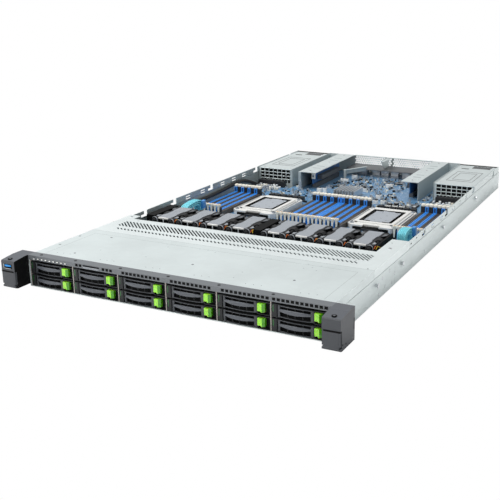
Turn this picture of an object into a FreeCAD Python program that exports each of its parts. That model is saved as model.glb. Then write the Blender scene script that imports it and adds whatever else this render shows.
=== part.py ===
"""A 1u rack server with its main lid off: chassis, twelve drive trays, eight fans, two supplies.

X runs to the right as seen from the front, Y to the rear and Z up. The origin is mid-width, on the
bottom face, in the plane of the rack ears' rear faces, which is the plane of the rack posts.
"""
import FreeCAD
import Part

import math
import os
from types import SimpleNamespace

import Sketcher

# Driving sizes in millimetres and degrees

SIZES = {
    # whole body
    "rack_width": 482.6,
    "body_width": 438.0,
    "body_height": 43.5,
    "body_depth": 815.0,
    "sheet": 1.0,
    "joggle_height": 31.0,
    "cover_gap": 0.1,
    "seam_gap": 0.2,
    # front frame strip above the bays
    "strip_depth": 13.5,
    "strip_bottom": 37.3,
    "strip_wall": 1.5,
    "vent_square": 3.5,
    "vent_pitch": 5.9,
    "vent_height": 40.7,
    "lamp_pitch": 6.55,
    "lamp_width": 3.4,
    "lamp_height": 2.2,
    "lamp_level": 39.3,
    "button_place": -208.5,
    "button_radius": 2.2,
    "button_gap": 0.2,
    "button_length": 6.0,
    "button_collar": 0.4,
    "button_proud": 0.8,
    "tag_centre": -113.6,
    "tag_width": 24.4,
    "tag_thickness": 0.8,
    "tag_level": 39.6,
    "tag_gap": 0.2,
    "tag_length": 29.0,
    # drive bays
    "bay_pitch": 72.0,
    "divider": 1.0,
    "row_pitch": 17.8,
    "tray_lift": 0.3,
    "ledge_thickness": 0.4,
    "ledge_width": 1.5,
    "ledge_start": 8.0,
    "cage_depth": 100.7,
    # drive tray and its lever
    "tray_width": 70.6,
    "tray_height": 15.9,
    "tray_depth": 108.0,
    "rail": 0.35,
    "rail_height": 14.0,
    "bezel_depth": 4.0,
    "bezel_plate": 1.6,
    "post_width": 6.8,
    "pipe_offset": 1.3,
    "pipe_width": 1.8,
    "pipe_low": 6.0,
    "pipe_height": 9.0,
    "latch_bay": 16.8,
    "rim": 0.8,
    "latch_offset": 1.2,
    "latch_width": 8.8,
    "latch_height": 10.4,
    "latch_low": 3.4,
    "latch_proud": 2.6,
    "hinge_offset": 2.2,
    "hinge_depth": 1.9,
    "hinge_pin": 0.75,
    "hinge_gap": 0.1,
    "lug": 0.6,
    "lever_gap": 0.8,
    "lever_thickness": 2.2,
    "lever_bulge": 1.3,
    "bar_bulge": 3.6,
    "bar_low": 4.9,
    "bar_height": 5.2,
    "bar_round": 1.4,
    "lever_rail": 1.4,
    "lever_rib": 1.0,
    "lever_post": 3.4,
    # covers
    "front_cover_end": 120.3,
    "tray_joint": 197.0,
    "vent_cover_end": 193.5,
    "left_tab_end": 211.5,
    "right_tab_end": 256.5,
    "left_tab": 19.0,
    "right_tab": 25.0,
    "slot_width": 2.4,
    "slot_reach": 12.3,
    "slot_row": 165.5,
    "slot_start": -189.0,
    "slot_pitch": 6.15,
    "dash_reach": 3.1,
    "dash_row": 140.5,
    # rack ears and their flaps
    "ear_reach": 39.8,
    "ear_bottom": 3.5,
    "ear_slope_start": 18.0,
    "ear_front_top": 41.2,
    "ear_wall": 2.0,
    "ear_back": 3.0,
    "ear_corner": 1.2,
    "ear_seam": 26.6,
    "ear_head": 3.2,
    "flap_thickness": 3.4,
    "flap_gap": 0.3,
    "flap_pin_level": 5.7,
    "flap_pin": 0.8,
    "flap_pin_gap": 0.06,
    "flap_notch": 9.4,
    "rack_screw_level": 21.8,
    "rack_screw": 2.5,
    "rack_screw_hole": 2.8,
    "usb_width": 13.2,
    "usb_height": 5.8,
    "usb_depth": 14.0,
    "usb_level": 30.9,
    "usb_shell": 0.4,
    # backplane
    "backplane_front": 101.0,
    "backplane_thickness": 1.6,
    "drive_plug_width": 43.0,
    "drive_plug_height": 5.0,
    "drive_plug_depth": 5.6,
    # fans
    "fan_front": 224.5,
    "fan_width": 43.4,
    "fan_height": 39.5,
    "fan_length": 65.0,
    "fan_pitch": 44.4,
    "fan_low": 1.6,
    "left_fans": -165.9,
    "right_fans": 25.9,
    "fan_bore": 18.9,
    "fan_corner": 3.0,
    "waist_start": 6.0,
    "waist_length": 21.0,
    "waist_pitch": 32.0,
    "waist_cut": 7.0,
    "motor_radius": 9.0,
    "motor_start": 30.0,
    "vane_start": 57.0,
    "vane_depth": 4.0,
    "vane_width": 2.0,
    "rotor_start": 5.0,
    "rotor_end": 27.0,
    "rotor_nose": 3.0,
    "shaft": 1.6,
    "shaft_gap": 0.08,
    "shaft_depth": 8.0,
    "blade_tip": 16.5,
    "blade_chord": 18.0,
    "blade_thickness": 1.3,
    "blade_camber": 2.2,
    "blade_angle": 48.0,
    "baffle_height": 41.5,
    "baffle_width": 15.0,
    # motherboard and what stands on it
    "board_level": 6.4,
    "board_thickness": 1.6,
    "board_half_width": 212.0,
    "board_front": 303.0,
    "board_step": 612.0,
    "board_rear": 811.0,
    "board_neck": 139.5,
    "memory_front": 366.5,
    "memory_rear": 518.5,
    "memory_pitch": 7.0,
    "memory_width": 6.0,
    "memory_height": 9.0,
    "memory_groove": 1.4,
    "memory_groove_depth": 5.0,
    "left_memory": -203.0,
    "middle_memory": -42.0,
    "right_memory": 159.0,
    "latch_depth": 7.0,
    "memory_latch_height": 23.0,
    "memory_latch_top": 3.2,
    "left_socket": -104.0,
    "right_socket": 109.0,
    "socket_row": 454.5,
    "socket_width": 84.0,
    "socket_length": 118.0,
    "socket_height": 8.0,
    "socket_window": 58.0,
    "socket_window_length": 78.0,
    "cap_width": 53.0,
    "cap_length": 72.0,
    "cap_height": 9.6,
    # power supplies
    "supply_width": 73.5,
    "supply_height": 40.0,
    "supply_length": 185.0,
    "supply_gap": 0.4,
    "supply_wall": 0.3,
    "supply_edge_board": 8.0,
    "inlet_width": 28.0,
    "inlet_height": 20.0,
    "inlet_depth": 16.0,
    "handle_width": 30.0,
    "handle_drop": 20.0,
    "handle_bar": 2.4,
    "handle_level": 31.0,
    "handle_stand": 2.6,
    "handle_pin": 0.9,
    "handle_pin_gap": 0.06,
    "supply_fan": 17.5,
    # rear wall, risers and shelf
    "port_gap": 0.3,
    "riser_front": 615.0,
    "left_riser": -121.0,
    "left_riser_width": 35.0,
    "right_riser": 85.0,
    "right_riser_width": 33.0,
    "riser_board": 1.6,
    "riser_slot_height": 9.0,
    "rear_vent_low": 25.0,
    "rear_vent_height": 14.5,
    "rear_vent_width": 68.0,
    "shelf_level": 23.0,
    "shelf_front": 768.0,
    # fasteners
    "stud_level": 22.0,
    "stud_neck": 2.2,
    "stud_neck_length": 2.6,
    "stud_head": 3.4,
    "stud_head_length": 1.2,
    "strip_screw": 2.0,
    "strip_screw_head": 0.3,
    "first_strip_screw": -201.5,
    "standoff": 3.0,
    # cables
    "harness": 3.2,
    "ribbon": 1.6,
    "ribbon_width": 12.0,
    "cable_rest": 0.3,
    "cable_plug": 7.0,
}

COLUMNS = 6
ROWS = 2
FANS_A_SIDE = 4
BLADES = 5
SLOTS = 62
SHORT_SLOTS = 3
MIDDLE_MEMORY = 16
SIDE_MEMORY = 8
PIN_SIDES = 8
HUB_SIDES = 12
BORE_SIDES = 16


class Dimension:
    """A size that carries both its value and the sheet expression that gives it."""

    def __init__(self, value, text):
        self.value = float(value)
        self.text = text

    def __float__(self):
        return self.value

    def __add__(self, other):
        return combine(self, "+", other)

    def __radd__(self, other):
        return combine(other, "+", self)

    def __sub__(self, other):
        return combine(self, "-", other)

    def __rsub__(self, other):
        return combine(other, "-", self)

    def __mul__(self, other):
        return combine(self, "*", other)

    def __rmul__(self, other):
        return combine(other, "*", self)

    def __truediv__(self, other):
        return combine(self, "/", other)

    def __neg__(self):
        return combine(0, "-", self)


def as_dimension(amount):
    """A plain number is a size of its own."""
    if isinstance(amount, Dimension):
        return amount
    return Dimension(amount, "(%r)" % float(amount))


def combine(left, sign, right):
    """The value and the expression of two sizes joined by a sign."""
    first = as_dimension(left)
    second = as_dimension(right)
    results = {
        "+": first.value + second.value,
        "-": first.value - second.value,
        "*": first.value * second.value,
    }
    if sign == "/":
        results["/"] = first.value / second.value
    return Dimension(results[sign], "(%s %s %s)" % (first.text, sign, second.text))


# The document and its sheet of sizes

document = FreeCAD.newDocument("RackServer")
sheet = document.addObject("Spreadsheet::Sheet", "Sizes")
for row, (name, value) in enumerate(SIZES.items(), 1):
    sheet.set("A%d" % row, name)
    sheet.set("B%d" % row, str(value))
    sheet.setAlias("B%d" % row, name)
document.recompute()

s = SimpleNamespace(**{name: Dimension(value, "Sizes." + name) for name, value in SIZES.items()})
nodes = []


# Tools for features

def bind(piece, prop, amount):
    """Tie a property to the sizes."""
    piece.setExpression(prop, as_dimension(amount).text)


def move(piece, x, y, z):
    """Tie the place of a piece to the sizes."""
    bind(piece, "Placement.Base.x", x)
    bind(piece, "Placement.Base.y", y)
    bind(piece, "Placement.Base.z", z)


def node(piece, label):
    """Make a piece one of the named sub-parts."""
    piece.Label = label
    nodes.append(piece)
    return piece


def new_body(name):
    return document.addObject("PartDesign::Body", name)


def sketch_on(body, plane, offset):
    """A sketch on one of the body's own planes, moved along the plane's normal."""
    sketch = body.newObject("Sketcher::SketchObject", body.Name + "_sketch")
    origin_plane = [item for item in body.Origin.OriginFeatures if item.Role == plane][0]
    sketch.AttachmentSupport = [(origin_plane, "")]
    sketch.MapMode = "FlatFace"
    bind(sketch, "AttachmentOffset.Base.z", offset)
    return sketch


def cross_sketch(body, y):
    """A sketch across the depth, at a given y: its own x is X and its own y is Z."""
    return sketch_on(body, "XZ_Plane", -as_dimension(y))


def side_sketch(body, x):
    """A sketch seen from the side, at a given x: its own x is Y and its own y is Z."""
    return sketch_on(body, "YZ_Plane", x)


def plan_sketch(body, z):
    """A sketch seen from above, at a given z."""
    return sketch_on(body, "XY_Plane", z)


def tie_point(sketch, ties, spot, geometry, point):
    """Hold one point of a sketch at its distances from the sketch's origin."""
    for kind, amount in zip(("DistanceX", "DistanceY"), spot):
        amount = as_dimension(amount)
        ties.append((Sketcher.Constraint(kind, -1, 1, geometry, point, amount.value), amount))


def add_ties(sketch, ties):
    """Add the constraints at once, then tie each that has a size to it."""
    first = sketch.ConstraintCount
    sketch.addConstraint([tie for tie, amount in ties])
    for number, (tie, amount) in enumerate(ties, first):
        if amount is not None:
            bind(sketch, "Constraints[%d]" % number, amount)


def outline(sketch, corners):
    """A closed outline of straight lines through corners that are sizes."""
    first = sketch.GeometryCount
    count = len(corners)
    spots = [FreeCAD.Vector(float(x), float(y), 0) for x, y in corners]
    lines = [Part.LineSegment(spots[i], spots[(i + 1) % count]) for i in range(count)]
    sketch.addGeometry(lines, False)
    ties = []
    for i in range(count):
        joint = Sketcher.Constraint("Coincident", first + i, 2, first + (i + 1) % count, 1)
        ties.append((joint, None))
    for i, corner in enumerate(corners):
        tie_point(sketch, ties, corner, first + i, 1)
    add_ties(sketch, ties)
    return sketch


def rectangle(sketch, x0, y0, x1, y1):
    return outline(sketch, [(x0, y0), (x1, y0), (x1, y1), (x0, y1)])


def ring(sketch, x, y, radius):
    """A circle in a sketch."""
    first = sketch.GeometryCount
    centre = FreeCAD.Vector(float(x), float(y), 0)
    sketch.addGeometry([Part.Circle(centre, FreeCAD.Vector(0, 0, 1), float(radius))], False)
    ties = []
    tie_point(sketch, ties, (x, y), first, 3)
    radius = as_dimension(radius)
    ties.append((Sketcher.Constraint("Radius", first, radius.value), radius))
    add_ties(sketch, ties)
    return sketch


def many_sided(sketch, x, y, radius, sides, around=False):
    """A regular outline of flat sides, inside a circle of the radius or, for a hole, around it."""
    if around:
        radius = radius / math.cos(math.pi / sides)
    corners = []
    for number in range(sides):
        turn = math.pi * (2 * number + 1) / sides
        corners.append((x + radius * math.cos(turn), y + radius * math.sin(turn)))
    return outline(sketch, corners)


def bowed(sketch, places, front, back, bulge):
    """A plan with a straight back and a front that bows out towards -y, in flats between the places."""
    left = places[0]
    span = places[-1] - left
    corners = []
    for place in places:
        share = (place - left) / span
        corners.append((place, front - bulge * share * (1 - share) * 4))
    corners.append((places[-1], back))
    corners.append((left, back))
    return outline(sketch, corners)


def pad(body, sketch, length, backward=False):
    """Material along the sketch's normal, or against it."""
    feature = body.newObject("PartDesign::Pad", body.Name + "_pad")
    feature.Profile = sketch
    feature.Reversed = backward
    bind(feature, "Length", length)
    return feature


def pocket(body, sketch, depth, forward=False):
    """A cut against the sketch's normal, or along it; with no depth it goes right through both ways."""
    feature = body.newObject("PartDesign::Pocket", body.Name + "_pocket")
    feature.Profile = sketch
    feature.Reversed = forward
    if depth is None:
        feature.Type = "ThroughAll"
        feature.SideType = "Symmetric"
    else:
        bind(feature, "Length", depth)
    return feature


def repeat(body, feature, axis, pitch, count):
    """A row of the same feature along one of the body's axes."""
    pattern = body.newObject("PartDesign::LinearPattern", body.Name + "_row")
    origin_axis = [item for item in body.Origin.OriginFeatures if item.Role == axis][0]
    pattern.Originals = [feature]
    pattern.Direction = (origin_axis, [""])
    pattern.Mode = "Spacing"
    bind(pattern, "Offset", pitch)
    pattern.Occurrences = count
    body.Tip = pattern
    return pattern


def block(name, x0, y0, z0, x1, y1, z1):
    """A rectangular block between two opposite corners."""
    piece = document.addObject("Part::Box", name)
    bind(piece, "Length", x1 - as_dimension(x0))
    bind(piece, "Width", y1 - as_dimension(y0))
    bind(piece, "Height", z1 - as_dimension(z0))
    move(piece, x0, y0, z0)
    return piece


TURNS = {
    "x": FreeCAD.Rotation(FreeCAD.Vector(0, 1, 0), 90),
    "-x": FreeCAD.Rotation(FreeCAD.Vector(0, 1, 0), -90),
    "y": FreeCAD.Rotation(FreeCAD.Vector(1, 0, 0), -90),
    "z": FreeCAD.Rotation(),
}


def rod(name, x, y, z, radius, length, axis):
    """A round bar from a point along an axis."""
    piece = document.addObject("Part::Cylinder", name)
    piece.Placement = FreeCAD.Placement(FreeCAD.Vector(), TURNS[axis])
    bind(piece, "Radius", radius)
    bind(piece, "Height", length)
    move(piece, x, y, z)
    return piece


def prism(name, x, y, z, radius, length, axis, sides):
    """A flat-sided bar from a point along an axis, for small pieces."""
    piece = document.addObject("Part::Prism", name)
    piece.Polygon = sides
    piece.Placement = FreeCAD.Placement(FreeCAD.Vector(), TURNS[axis])
    bind(piece, "Circumradius", radius)
    bind(piece, "Height", length)
    move(piece, x, y, z)
    return piece


def join(name, pieces):
    """Several pieces grown into one solid."""
    whole = document.addObject("Part::MultiFuse", name)
    whole.Shapes = pieces
    whole.Refine = True
    return whole


def carve(name, base, tool):
    """One piece with another cut out of it."""
    result = document.addObject("Part::Cut", name)
    result.Base = base
    result.Tool = tool
    return result


def collect(name, pieces):
    """Separate solids kept together."""
    group = document.addObject("Part::Compound", name)
    group.Links = pieces
    return group


def copy_at(name, pieces, x, y, z):
    """The same pieces once more, at another place."""
    group = collect(name, pieces)
    move(group, x, y, z)
    return group


def mirror(name, piece):
    """The piece on the other side of the middle plane."""
    other = document.addObject("Part::Mirroring", name)
    other.Source = piece
    other.Normal = FreeCAD.Vector(1, 0, 0)
    return other


# Places that several pieces share

half_width = s.body_width / 2
wall_step = s.sheet + s.cover_gap
cover_under = s.body_height - s.sheet
wall_top = cover_under - s.cover_gap
flange_bottom = s.joggle_height + wall_step + s.seam_gap
upper_inside = half_width - wall_step - s.sheet
drive_face = -s.strip_depth
board_top = s.board_level + s.board_thickness
supply_outer = upper_inside - s.supply_gap
supply_inner = supply_outer - s.supply_width
cage_wall = supply_inner - s.supply_wall
rear_inside = s.body_depth - s.sheet
supply_front = s.body_depth - s.supply_length


def cover_section(sketch):
    """The section of a cover: a flat top with a flange down each side."""
    left = -half_width
    inner = half_width - s.sheet
    corners = [
        (left, flange_bottom),
        (-inner, flange_bottom),
        (-inner, cover_under),
        (inner, cover_under),
        (inner, flange_bottom),
        (half_width, flange_bottom),
        (half_width, s.body_height),
        (left, s.body_height),
    ]
    return outline(sketch, corners)


# Chassis tray with its rear wall

def chassis_tray():
    """Floor and stepped side walls with hook notches and tie cuts, and the rear wall."""
    body = new_body("chassis_folded_sheet")
    inner = half_width - s.sheet
    upper = half_width - wall_step
    step_top = s.joggle_height + wall_step
    right_side = [
        (half_width, 0),
        (half_width, s.joggle_height),
        (upper, step_top),
        (upper, wall_top),
        (upper_inside, wall_top),
        (upper_inside, step_top),
        (inner, s.joggle_height),
        (inner, s.sheet),
    ]
    left_side = [(-as_dimension(x), z) for x, z in reversed(right_side)]
    section = outline(cross_sketch(body, drive_face), right_side + left_side)
    pad(body, section, s.strip_depth + s.body_depth, backward=True)

    # the walls are lower under the front strip
    front_cut = side_sketch(body, 0)
    rectangle(front_cut, drive_face - 1, s.strip_bottom - s.cover_gap, s.seam_gap / 2, s.body_height)
    pocket(body, front_cut, None)

    # L-shaped notches that the lid's hooks enter from above and then slide forward into
    hooks = side_sketch(body, 0)
    slide = 16.5
    mouth = 8.5
    neck = 3.9
    foot = wall_top - 9.3
    for place in (234.5, 317.5, 436.5, 606.5, 757.5):
        outline(hooks, [
            (place, foot),
            (place + slide, foot),
            (place + slide, s.body_height),
            (place + slide - mouth, s.body_height),
            (place + slide - mouth, foot + neck),
            (place, foot + neck),
        ])
    pocket(body, hooks, None)

    # C-shaped cuts that leave a tongue for cable ties
    lances = side_sketch(body, 0)
    cut = 1.6
    reach = 13.5
    low = 33.2
    high = 39.0
    for place in (364.0, 412.0, 481.0, 522.5, 561.5):
        outline(lances, [
            (place, low),
            (place + reach, low),
            (place + reach, low + cut),
            (place + cut, low + cut),
            (place + cut, high - cut),
            (place + reach, high - cut),
            (place + reach, high),
            (place, high),
        ])
    pocket(body, lances, None)

    # the tray is made of a front and a rear part that meet at an upright joint
    beyond = half_width + 1
    above = s.body_height + 1
    front_half = block("front_half", -beyond, drive_face - 1, -1, beyond, s.tray_joint, above)
    rear_half = block("rear_half", -beyond, s.tray_joint, -1, beyond, s.body_depth + 1, above)
    front_part = carve("chassis_front_part", body, rear_half)
    rear_part = carve("chassis_rear_part", body, front_half)
    node(collect("chassis_tray", [front_part, rear_part, rear_wall()]), "chassis_tray")


def rear_wall():
    """The wall between the two supply bays, standing on the floor, with port and vent openings."""
    body = new_body("chassis_rear_wall")
    wall = cross_sketch(body, rear_inside)
    rectangle(wall, -cage_wall, s.sheet, cage_wall, wall_top)
    for x, z, width, height in rear_ports():
        edge = width / 2 + s.port_gap
        rectangle(wall, x - edge, z - s.port_gap, x + edge, z + height + s.port_gap)
    pad(body, wall, s.sheet, backward=True)
    vents = cross_sketch(body, rear_inside)
    hole = 4.6
    for start in (-rear_vent_reach(), rear_vent_start()):
        for level in range(2):
            z = s.rear_vent_low + level * s.rear_vent_height / 2
            rectangle(vents, start, z, start + hole, z + hole + 1.0)
    cut = pocket(body, vents, s.sheet * 2)
    repeat(body, cut, "X_Axis", s.rear_vent_width / 10, 10)
    return body


def rear_vent_start():
    """Where the right rear vent begins, beside the middle post."""
    return as_dimension(8.0)


def rear_vent_reach():
    """How far the left rear vent lies from the middle."""
    return s.rear_vent_width + rear_vent_start()


def rear_ports():
    """Each rear port: its middle in x, its lowest z, its width and its height."""
    level = board_top + s.port_gap
    return [
        (as_dimension(-66.0), level, 31.0, 12.4),
        (as_dimension(-30.0), level, 16.2, 13.4),
        (as_dimension(-11.0), level, 16.2, 13.4),
        (as_dimension(10.0), level, 16.2, 13.4),
        (as_dimension(34.0), level, 14.6, 13.4),
        (as_dimension(62.0), level, 31.0, 12.4),
    ]


# Front frame strip

def front_frame():
    """The angle strip over the bays, with vent squares, lamp windows, button hole and tag slot."""
    body = new_body("front_frame")
    front_inside = drive_face + s.strip_wall
    under = s.body_height - s.strip_wall
    corners = [
        (drive_face, s.strip_bottom),
        (front_inside, s.strip_bottom),
        (front_inside, under),
        (0, under),
        (0, s.body_height),
        (drive_face, s.body_height),
    ]
    pad(body, outline(side_sketch(body, -half_width), corners), s.body_width)

    # guide in which the information tag slides
    guide_wall = 1.4
    tag_left = s.tag_centre - s.tag_width / 2
    tag_right = s.tag_centre + s.tag_width / 2
    guide = cross_sketch(body, front_inside)
    rectangle(guide, tag_left - guide_wall, s.strip_bottom + 0.5, tag_right + guide_wall, under)
    pad(body, guide, s.strip_depth - s.strip_wall - 1, backward=True)
    mouth = cross_sketch(body, drive_face)
    slot_low = s.tag_level - s.tag_gap
    slot_high = s.tag_level + s.tag_thickness + 0.9
    rectangle(mouth, tag_left - s.tag_gap, slot_low, tag_right + s.tag_gap, slot_high)
    pocket(body, mouth, s.strip_depth)

    # button hole and lamp windows of the first bay
    hole = ring(cross_sketch(body, drive_face), s.button_place, s.lamp_level, s.button_radius + s.button_gap)
    pocket(body, hole, s.strip_wall)
    window = cross_sketch(body, drive_face)
    lamp = s.button_place + s.lamp_pitch
    half_lamp = s.lamp_width / 2
    half_tall = s.lamp_height / 2
    rectangle(window, lamp - half_lamp, s.lamp_level - half_tall, lamp + half_lamp, s.lamp_level + half_tall)
    repeat(body, pocket(body, window, s.strip_wall), "X_Axis", s.lamp_pitch, 8)

    # square vent holes of the other bays: the first hole and the count of each row
    rows = [(-137.1, 2), (-94.3, 3), (-63.4, 10), (9.1, 10), (80.5, 11), (147.9, 12)]
    half_square = s.vent_square / 2
    for first, count in rows:
        hole = cross_sketch(body, drive_face)
        left = first - half_square
        low = s.vent_height - half_square
        rectangle(hole, left, low, left + s.vent_square, low + s.vent_square)
        repeat(body, pocket(body, hole, s.strip_wall), "X_Axis", s.vent_pitch, count)
    node(body, "front_frame")


def power_button():
    """A round button with a collar behind the strip's front wall."""
    face = drive_face - s.button_proud
    cap = rod("button_cap", s.button_place, face, s.lamp_level, s.button_radius, s.button_length, "y")
    collar_start = drive_face + s.strip_wall + s.button_gap
    collar_radius = s.button_radius + s.button_collar
    level = s.lamp_level
    collar = prism("button_collar", s.button_place, collar_start, level, collar_radius, 0.8, "y", HUB_SIDES)
    node(join("power_button", [cap, collar]), "power_button")


def info_tag():
    """A flat pull-out tag with a lip to pull it by; its label place is bare."""
    left = s.tag_centre - s.tag_width / 2
    right = s.tag_centre + s.tag_width / 2
    top = s.tag_level + s.tag_thickness
    front = drive_face - 0.9
    plate = block("tag_plate", left, front, s.tag_level, right, front + s.tag_length, top)
    lip = block("tag_lip", left, front, s.tag_level - 1.4, right, front + s.tag_thickness, top)
    node(join("info_tag", [plate, lip]), "info_tag")


# Drive bays

def bay_left(column):
    """The left face of a bay, which is the right face of its divider."""
    return s.bay_pitch * (column - COLUMNS / 2) + s.divider / 2


def tray_bottom(row):
    return s.sheet + s.tray_lift + s.row_pitch * row


def drive_cage():
    """Seven dividers with a ledge for the upper row on each side that faces a bay."""
    ledge_top = tray_bottom(1) - 0.15
    ledge_low = ledge_top - s.ledge_thickness
    walls = []
    for number in range(COLUMNS + 1):
        right = bay_left(number)
        left = right - s.divider
        name = "divider_%d" % number
        front_top = s.strip_bottom - s.cover_gap
        front = block(name + "_front", left, drive_face, s.sheet, right, s.seam_gap, front_top)
        rear = block(name + "_rear", left, s.seam_gap, s.sheet, right, s.cage_depth, wall_top)
        ledge_left = left - s.ledge_width if number > 0 else left
        ledge_right = right + s.ledge_width if number < COLUMNS else right
        start = drive_face + s.ledge_start
        end = s.cage_depth - s.ledge_start
        ledge = block(name + "_ledge", ledge_left, start, ledge_low, ledge_right, end, ledge_top)
        walls.append(join(name, [front, rear, ledge]))
    node(collect("drive_cage", walls), "drive_cage")


def tray_frame():
    """A tray for one 2.5-inch drive: bezel, two thin rails and a rear tie, in the tray's own place."""
    body = new_body("tray_frame")
    height = s.tray_height
    width = s.tray_width
    bay_start = width - s.latch_bay

    # front plate behind the lever, open for air
    plate = cross_sketch(body, s.bezel_depth)
    rectangle(plate, 0, 0, width, height)
    lever_left = s.post_width + s.hinge_offset
    middle = (lever_left + bay_start) / 2
    bar = 1.4
    rectangle(plate, lever_left + 2, bar * 1.5, middle - bar / 2, height - bar * 1.5)
    rectangle(plate, middle + bar / 2, bar * 1.5, bay_start - 2, height - bar * 1.5)
    pad(body, plate, s.bezel_plate, backward=True)

    # left post with the slot of the light pipe
    pad(body, rectangle(cross_sketch(body, 0), 0, 0, s.post_width, height), s.bezel_depth, backward=True)
    slot = cross_sketch(body, 0)
    pipe_right = s.pipe_offset + s.pipe_width
    rectangle(slot, s.pipe_offset, s.pipe_low, pipe_right, s.pipe_low + s.pipe_height)
    pocket(body, slot, s.bezel_depth / 2)

    # rim around the latch
    frame = cross_sketch(body, 0)
    rectangle(frame, bay_start, 0, width, height)
    rectangle(frame, bay_start + s.rim, s.rim, width - s.rim, height - s.rim)
    pad(body, frame, s.bezel_depth, backward=True)

    # rails and rear tie
    rail_start = s.bezel_depth + s.bezel_plate
    rails = plan_sketch(body, 0)
    rectangle(rails, 0, rail_start, s.rail, s.tray_depth)
    rectangle(rails, width - s.rail, rail_start, width, s.tray_depth)
    pad(body, rails, s.rail_height)
    tie = plan_sketch(body, 0)
    rectangle(tie, s.rail, s.tray_depth - s.bezel_plate, width - s.rail, s.tray_depth)
    pad(body, tie, s.bezel_depth)

    # lugs and pin that carry the lever
    lug_right = lever_left + s.hinge_offset
    for level in (as_dimension(0), height - s.lug):
        lug = plan_sketch(body, level)
        rectangle(lug, s.post_width, 0.2, lug_right, s.bezel_depth)
        pad(body, lug, s.lug)
    pin = many_sided(plan_sketch(body, s.lug), lever_left, s.hinge_depth, s.hinge_pin, PIN_SIDES)
    pad(body, pin, height - s.lug * 2)
    return body


def tray_latch():
    """The green latch button in its bay, with a lower right tab."""
    body = new_body("tray_latch")
    left = s.tray_width - s.latch_bay + s.latch_offset
    right = left + s.latch_width
    low = s.latch_low
    high = low + s.latch_height
    notch = 1.4
    tab = left + s.latch_width * 0.45
    face = cross_sketch(body, -s.latch_proud)
    corners = [
        (left, low + notch),
        (tab, low + notch),
        (tab + notch, low),
        (right, low),
        (right, high),
        (left, high),
    ]
    pad(body, outline(face, corners), s.latch_proud + s.bezel_depth, backward=True)
    # the right side falls back from the face
    slope = plan_sketch(body, low - 1)
    back = s.latch_proud * 0.8
    corner_left = right - 3.0
    outline(slope, [
        (corner_left, -s.latch_proud - 1),
        (right + 1, -s.latch_proud - 1),
        (right + 1, -s.latch_proud + back),
        (right, -s.latch_proud + back),
        (corner_left, -s.latch_proud),
    ])
    pocket(body, slope, s.latch_height + 2, forward=True)
    return body


def tray_lever():
    """The barred lever: a curved grille with a deep convex middle bar and a knuckle for its pin."""
    body = new_body("tray_lever")
    left = s.post_width + s.hinge_offset
    right = s.tray_width - s.latch_bay - s.lever_gap
    low = s.lug + 0.2
    high = s.tray_height - s.lug - 0.2
    front = as_dimension(0.4)
    back = front + s.lever_thickness

    # the deep middle bar, bevelled along its front edges
    windows = 4
    bar_left = left + s.hinge_depth + 0.2
    bar_right = right - s.lever_post + 0.6
    flats = 6
    places = [bar_left + (bar_right - bar_left) * number / flats for number in range(flats + 1)]
    bar = bowed(plan_sketch(body, s.bar_low), places, front, back, s.bar_bulge)
    bar_pad = pad(body, bar, s.bar_height)
    document.recompute()
    edge_names = []
    for number, edge in enumerate(bar_pad.Shape.Edges, 1):
        first, last = edge.Vertexes
        level = abs(first.Z - last.Z) < 0.01
        if level and max(first.Y, last.Y) < float(front) + 0.01 and abs(first.X - last.X) > 0.01:
            edge_names.append("Edge%d" % number)
    bevel = body.newObject("PartDesign::Chamfer", "tray_lever_bevel")
    bevel.Base = (bar_pad, edge_names)
    bind(bevel, "Size", s.bar_round)

    # knuckle around the hinge pin
    knuckle = many_sided(plan_sketch(body, low), left, s.hinge_depth, s.hinge_depth - s.hinge_gap, PIN_SIDES)
    many_sided(knuckle, left, s.hinge_depth, s.hinge_pin + s.hinge_gap, PIN_SIDES, around=True)
    pad(body, knuckle, high - low)

    # bowed plate over the full height, in one flat for each window
    span = right - s.lever_post - left - s.lever_rib - s.hinge_depth
    window_width = (span - s.lever_rib * (windows - 1)) / windows
    window_pitch = window_width + s.lever_rib
    window_left = left + s.hinge_depth + s.lever_rib
    places = [left + s.hinge_pin + s.hinge_gap * 4]
    for number in range(windows + 1):
        places.append(window_left - s.lever_rib / 2 + window_pitch * number)
    places.append(right)
    plate = bowed(plan_sketch(body, low), places, front, back, s.lever_bulge)
    pad(body, plate, high - low)

    # two rows of windows with ribs between them; the middle bar lies between the rows
    grille = cross_sketch(body, front - s.lever_bulge - 1)
    window_right = window_left + window_width
    rectangle(grille, window_left, low + s.lever_rail, window_right, s.bar_low)
    rectangle(grille, window_left, s.bar_low + s.bar_height, window_right, high - s.lever_rail)
    cut = pocket(body, grille, s.lever_bulge + s.lever_thickness + 2)
    repeat(body, cut, "X_Axis", window_pitch, windows)
    return body


def drive_trays():
    """Twelve trays and twelve levers, each a node of its own."""
    frame = tray_frame()
    latch = tray_latch()
    lever = tray_lever()
    side_gap = (s.bay_pitch - s.divider - s.tray_width) / 2
    number = 0
    for row in range(ROWS):
        for column in range(COLUMNS):
            number += 1
            x = bay_left(column) + side_gap
            z = tray_bottom(row)
            tray = copy_at("drive_tray_%02d" % number, [frame, latch], x, drive_face, z)
            node(tray, "drive_tray_%02d" % number)
            arm = copy_at("tray_lever_%02d" % number, [lever], x, drive_face, z)
            node(arm, "tray_lever_%02d" % number)


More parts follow.
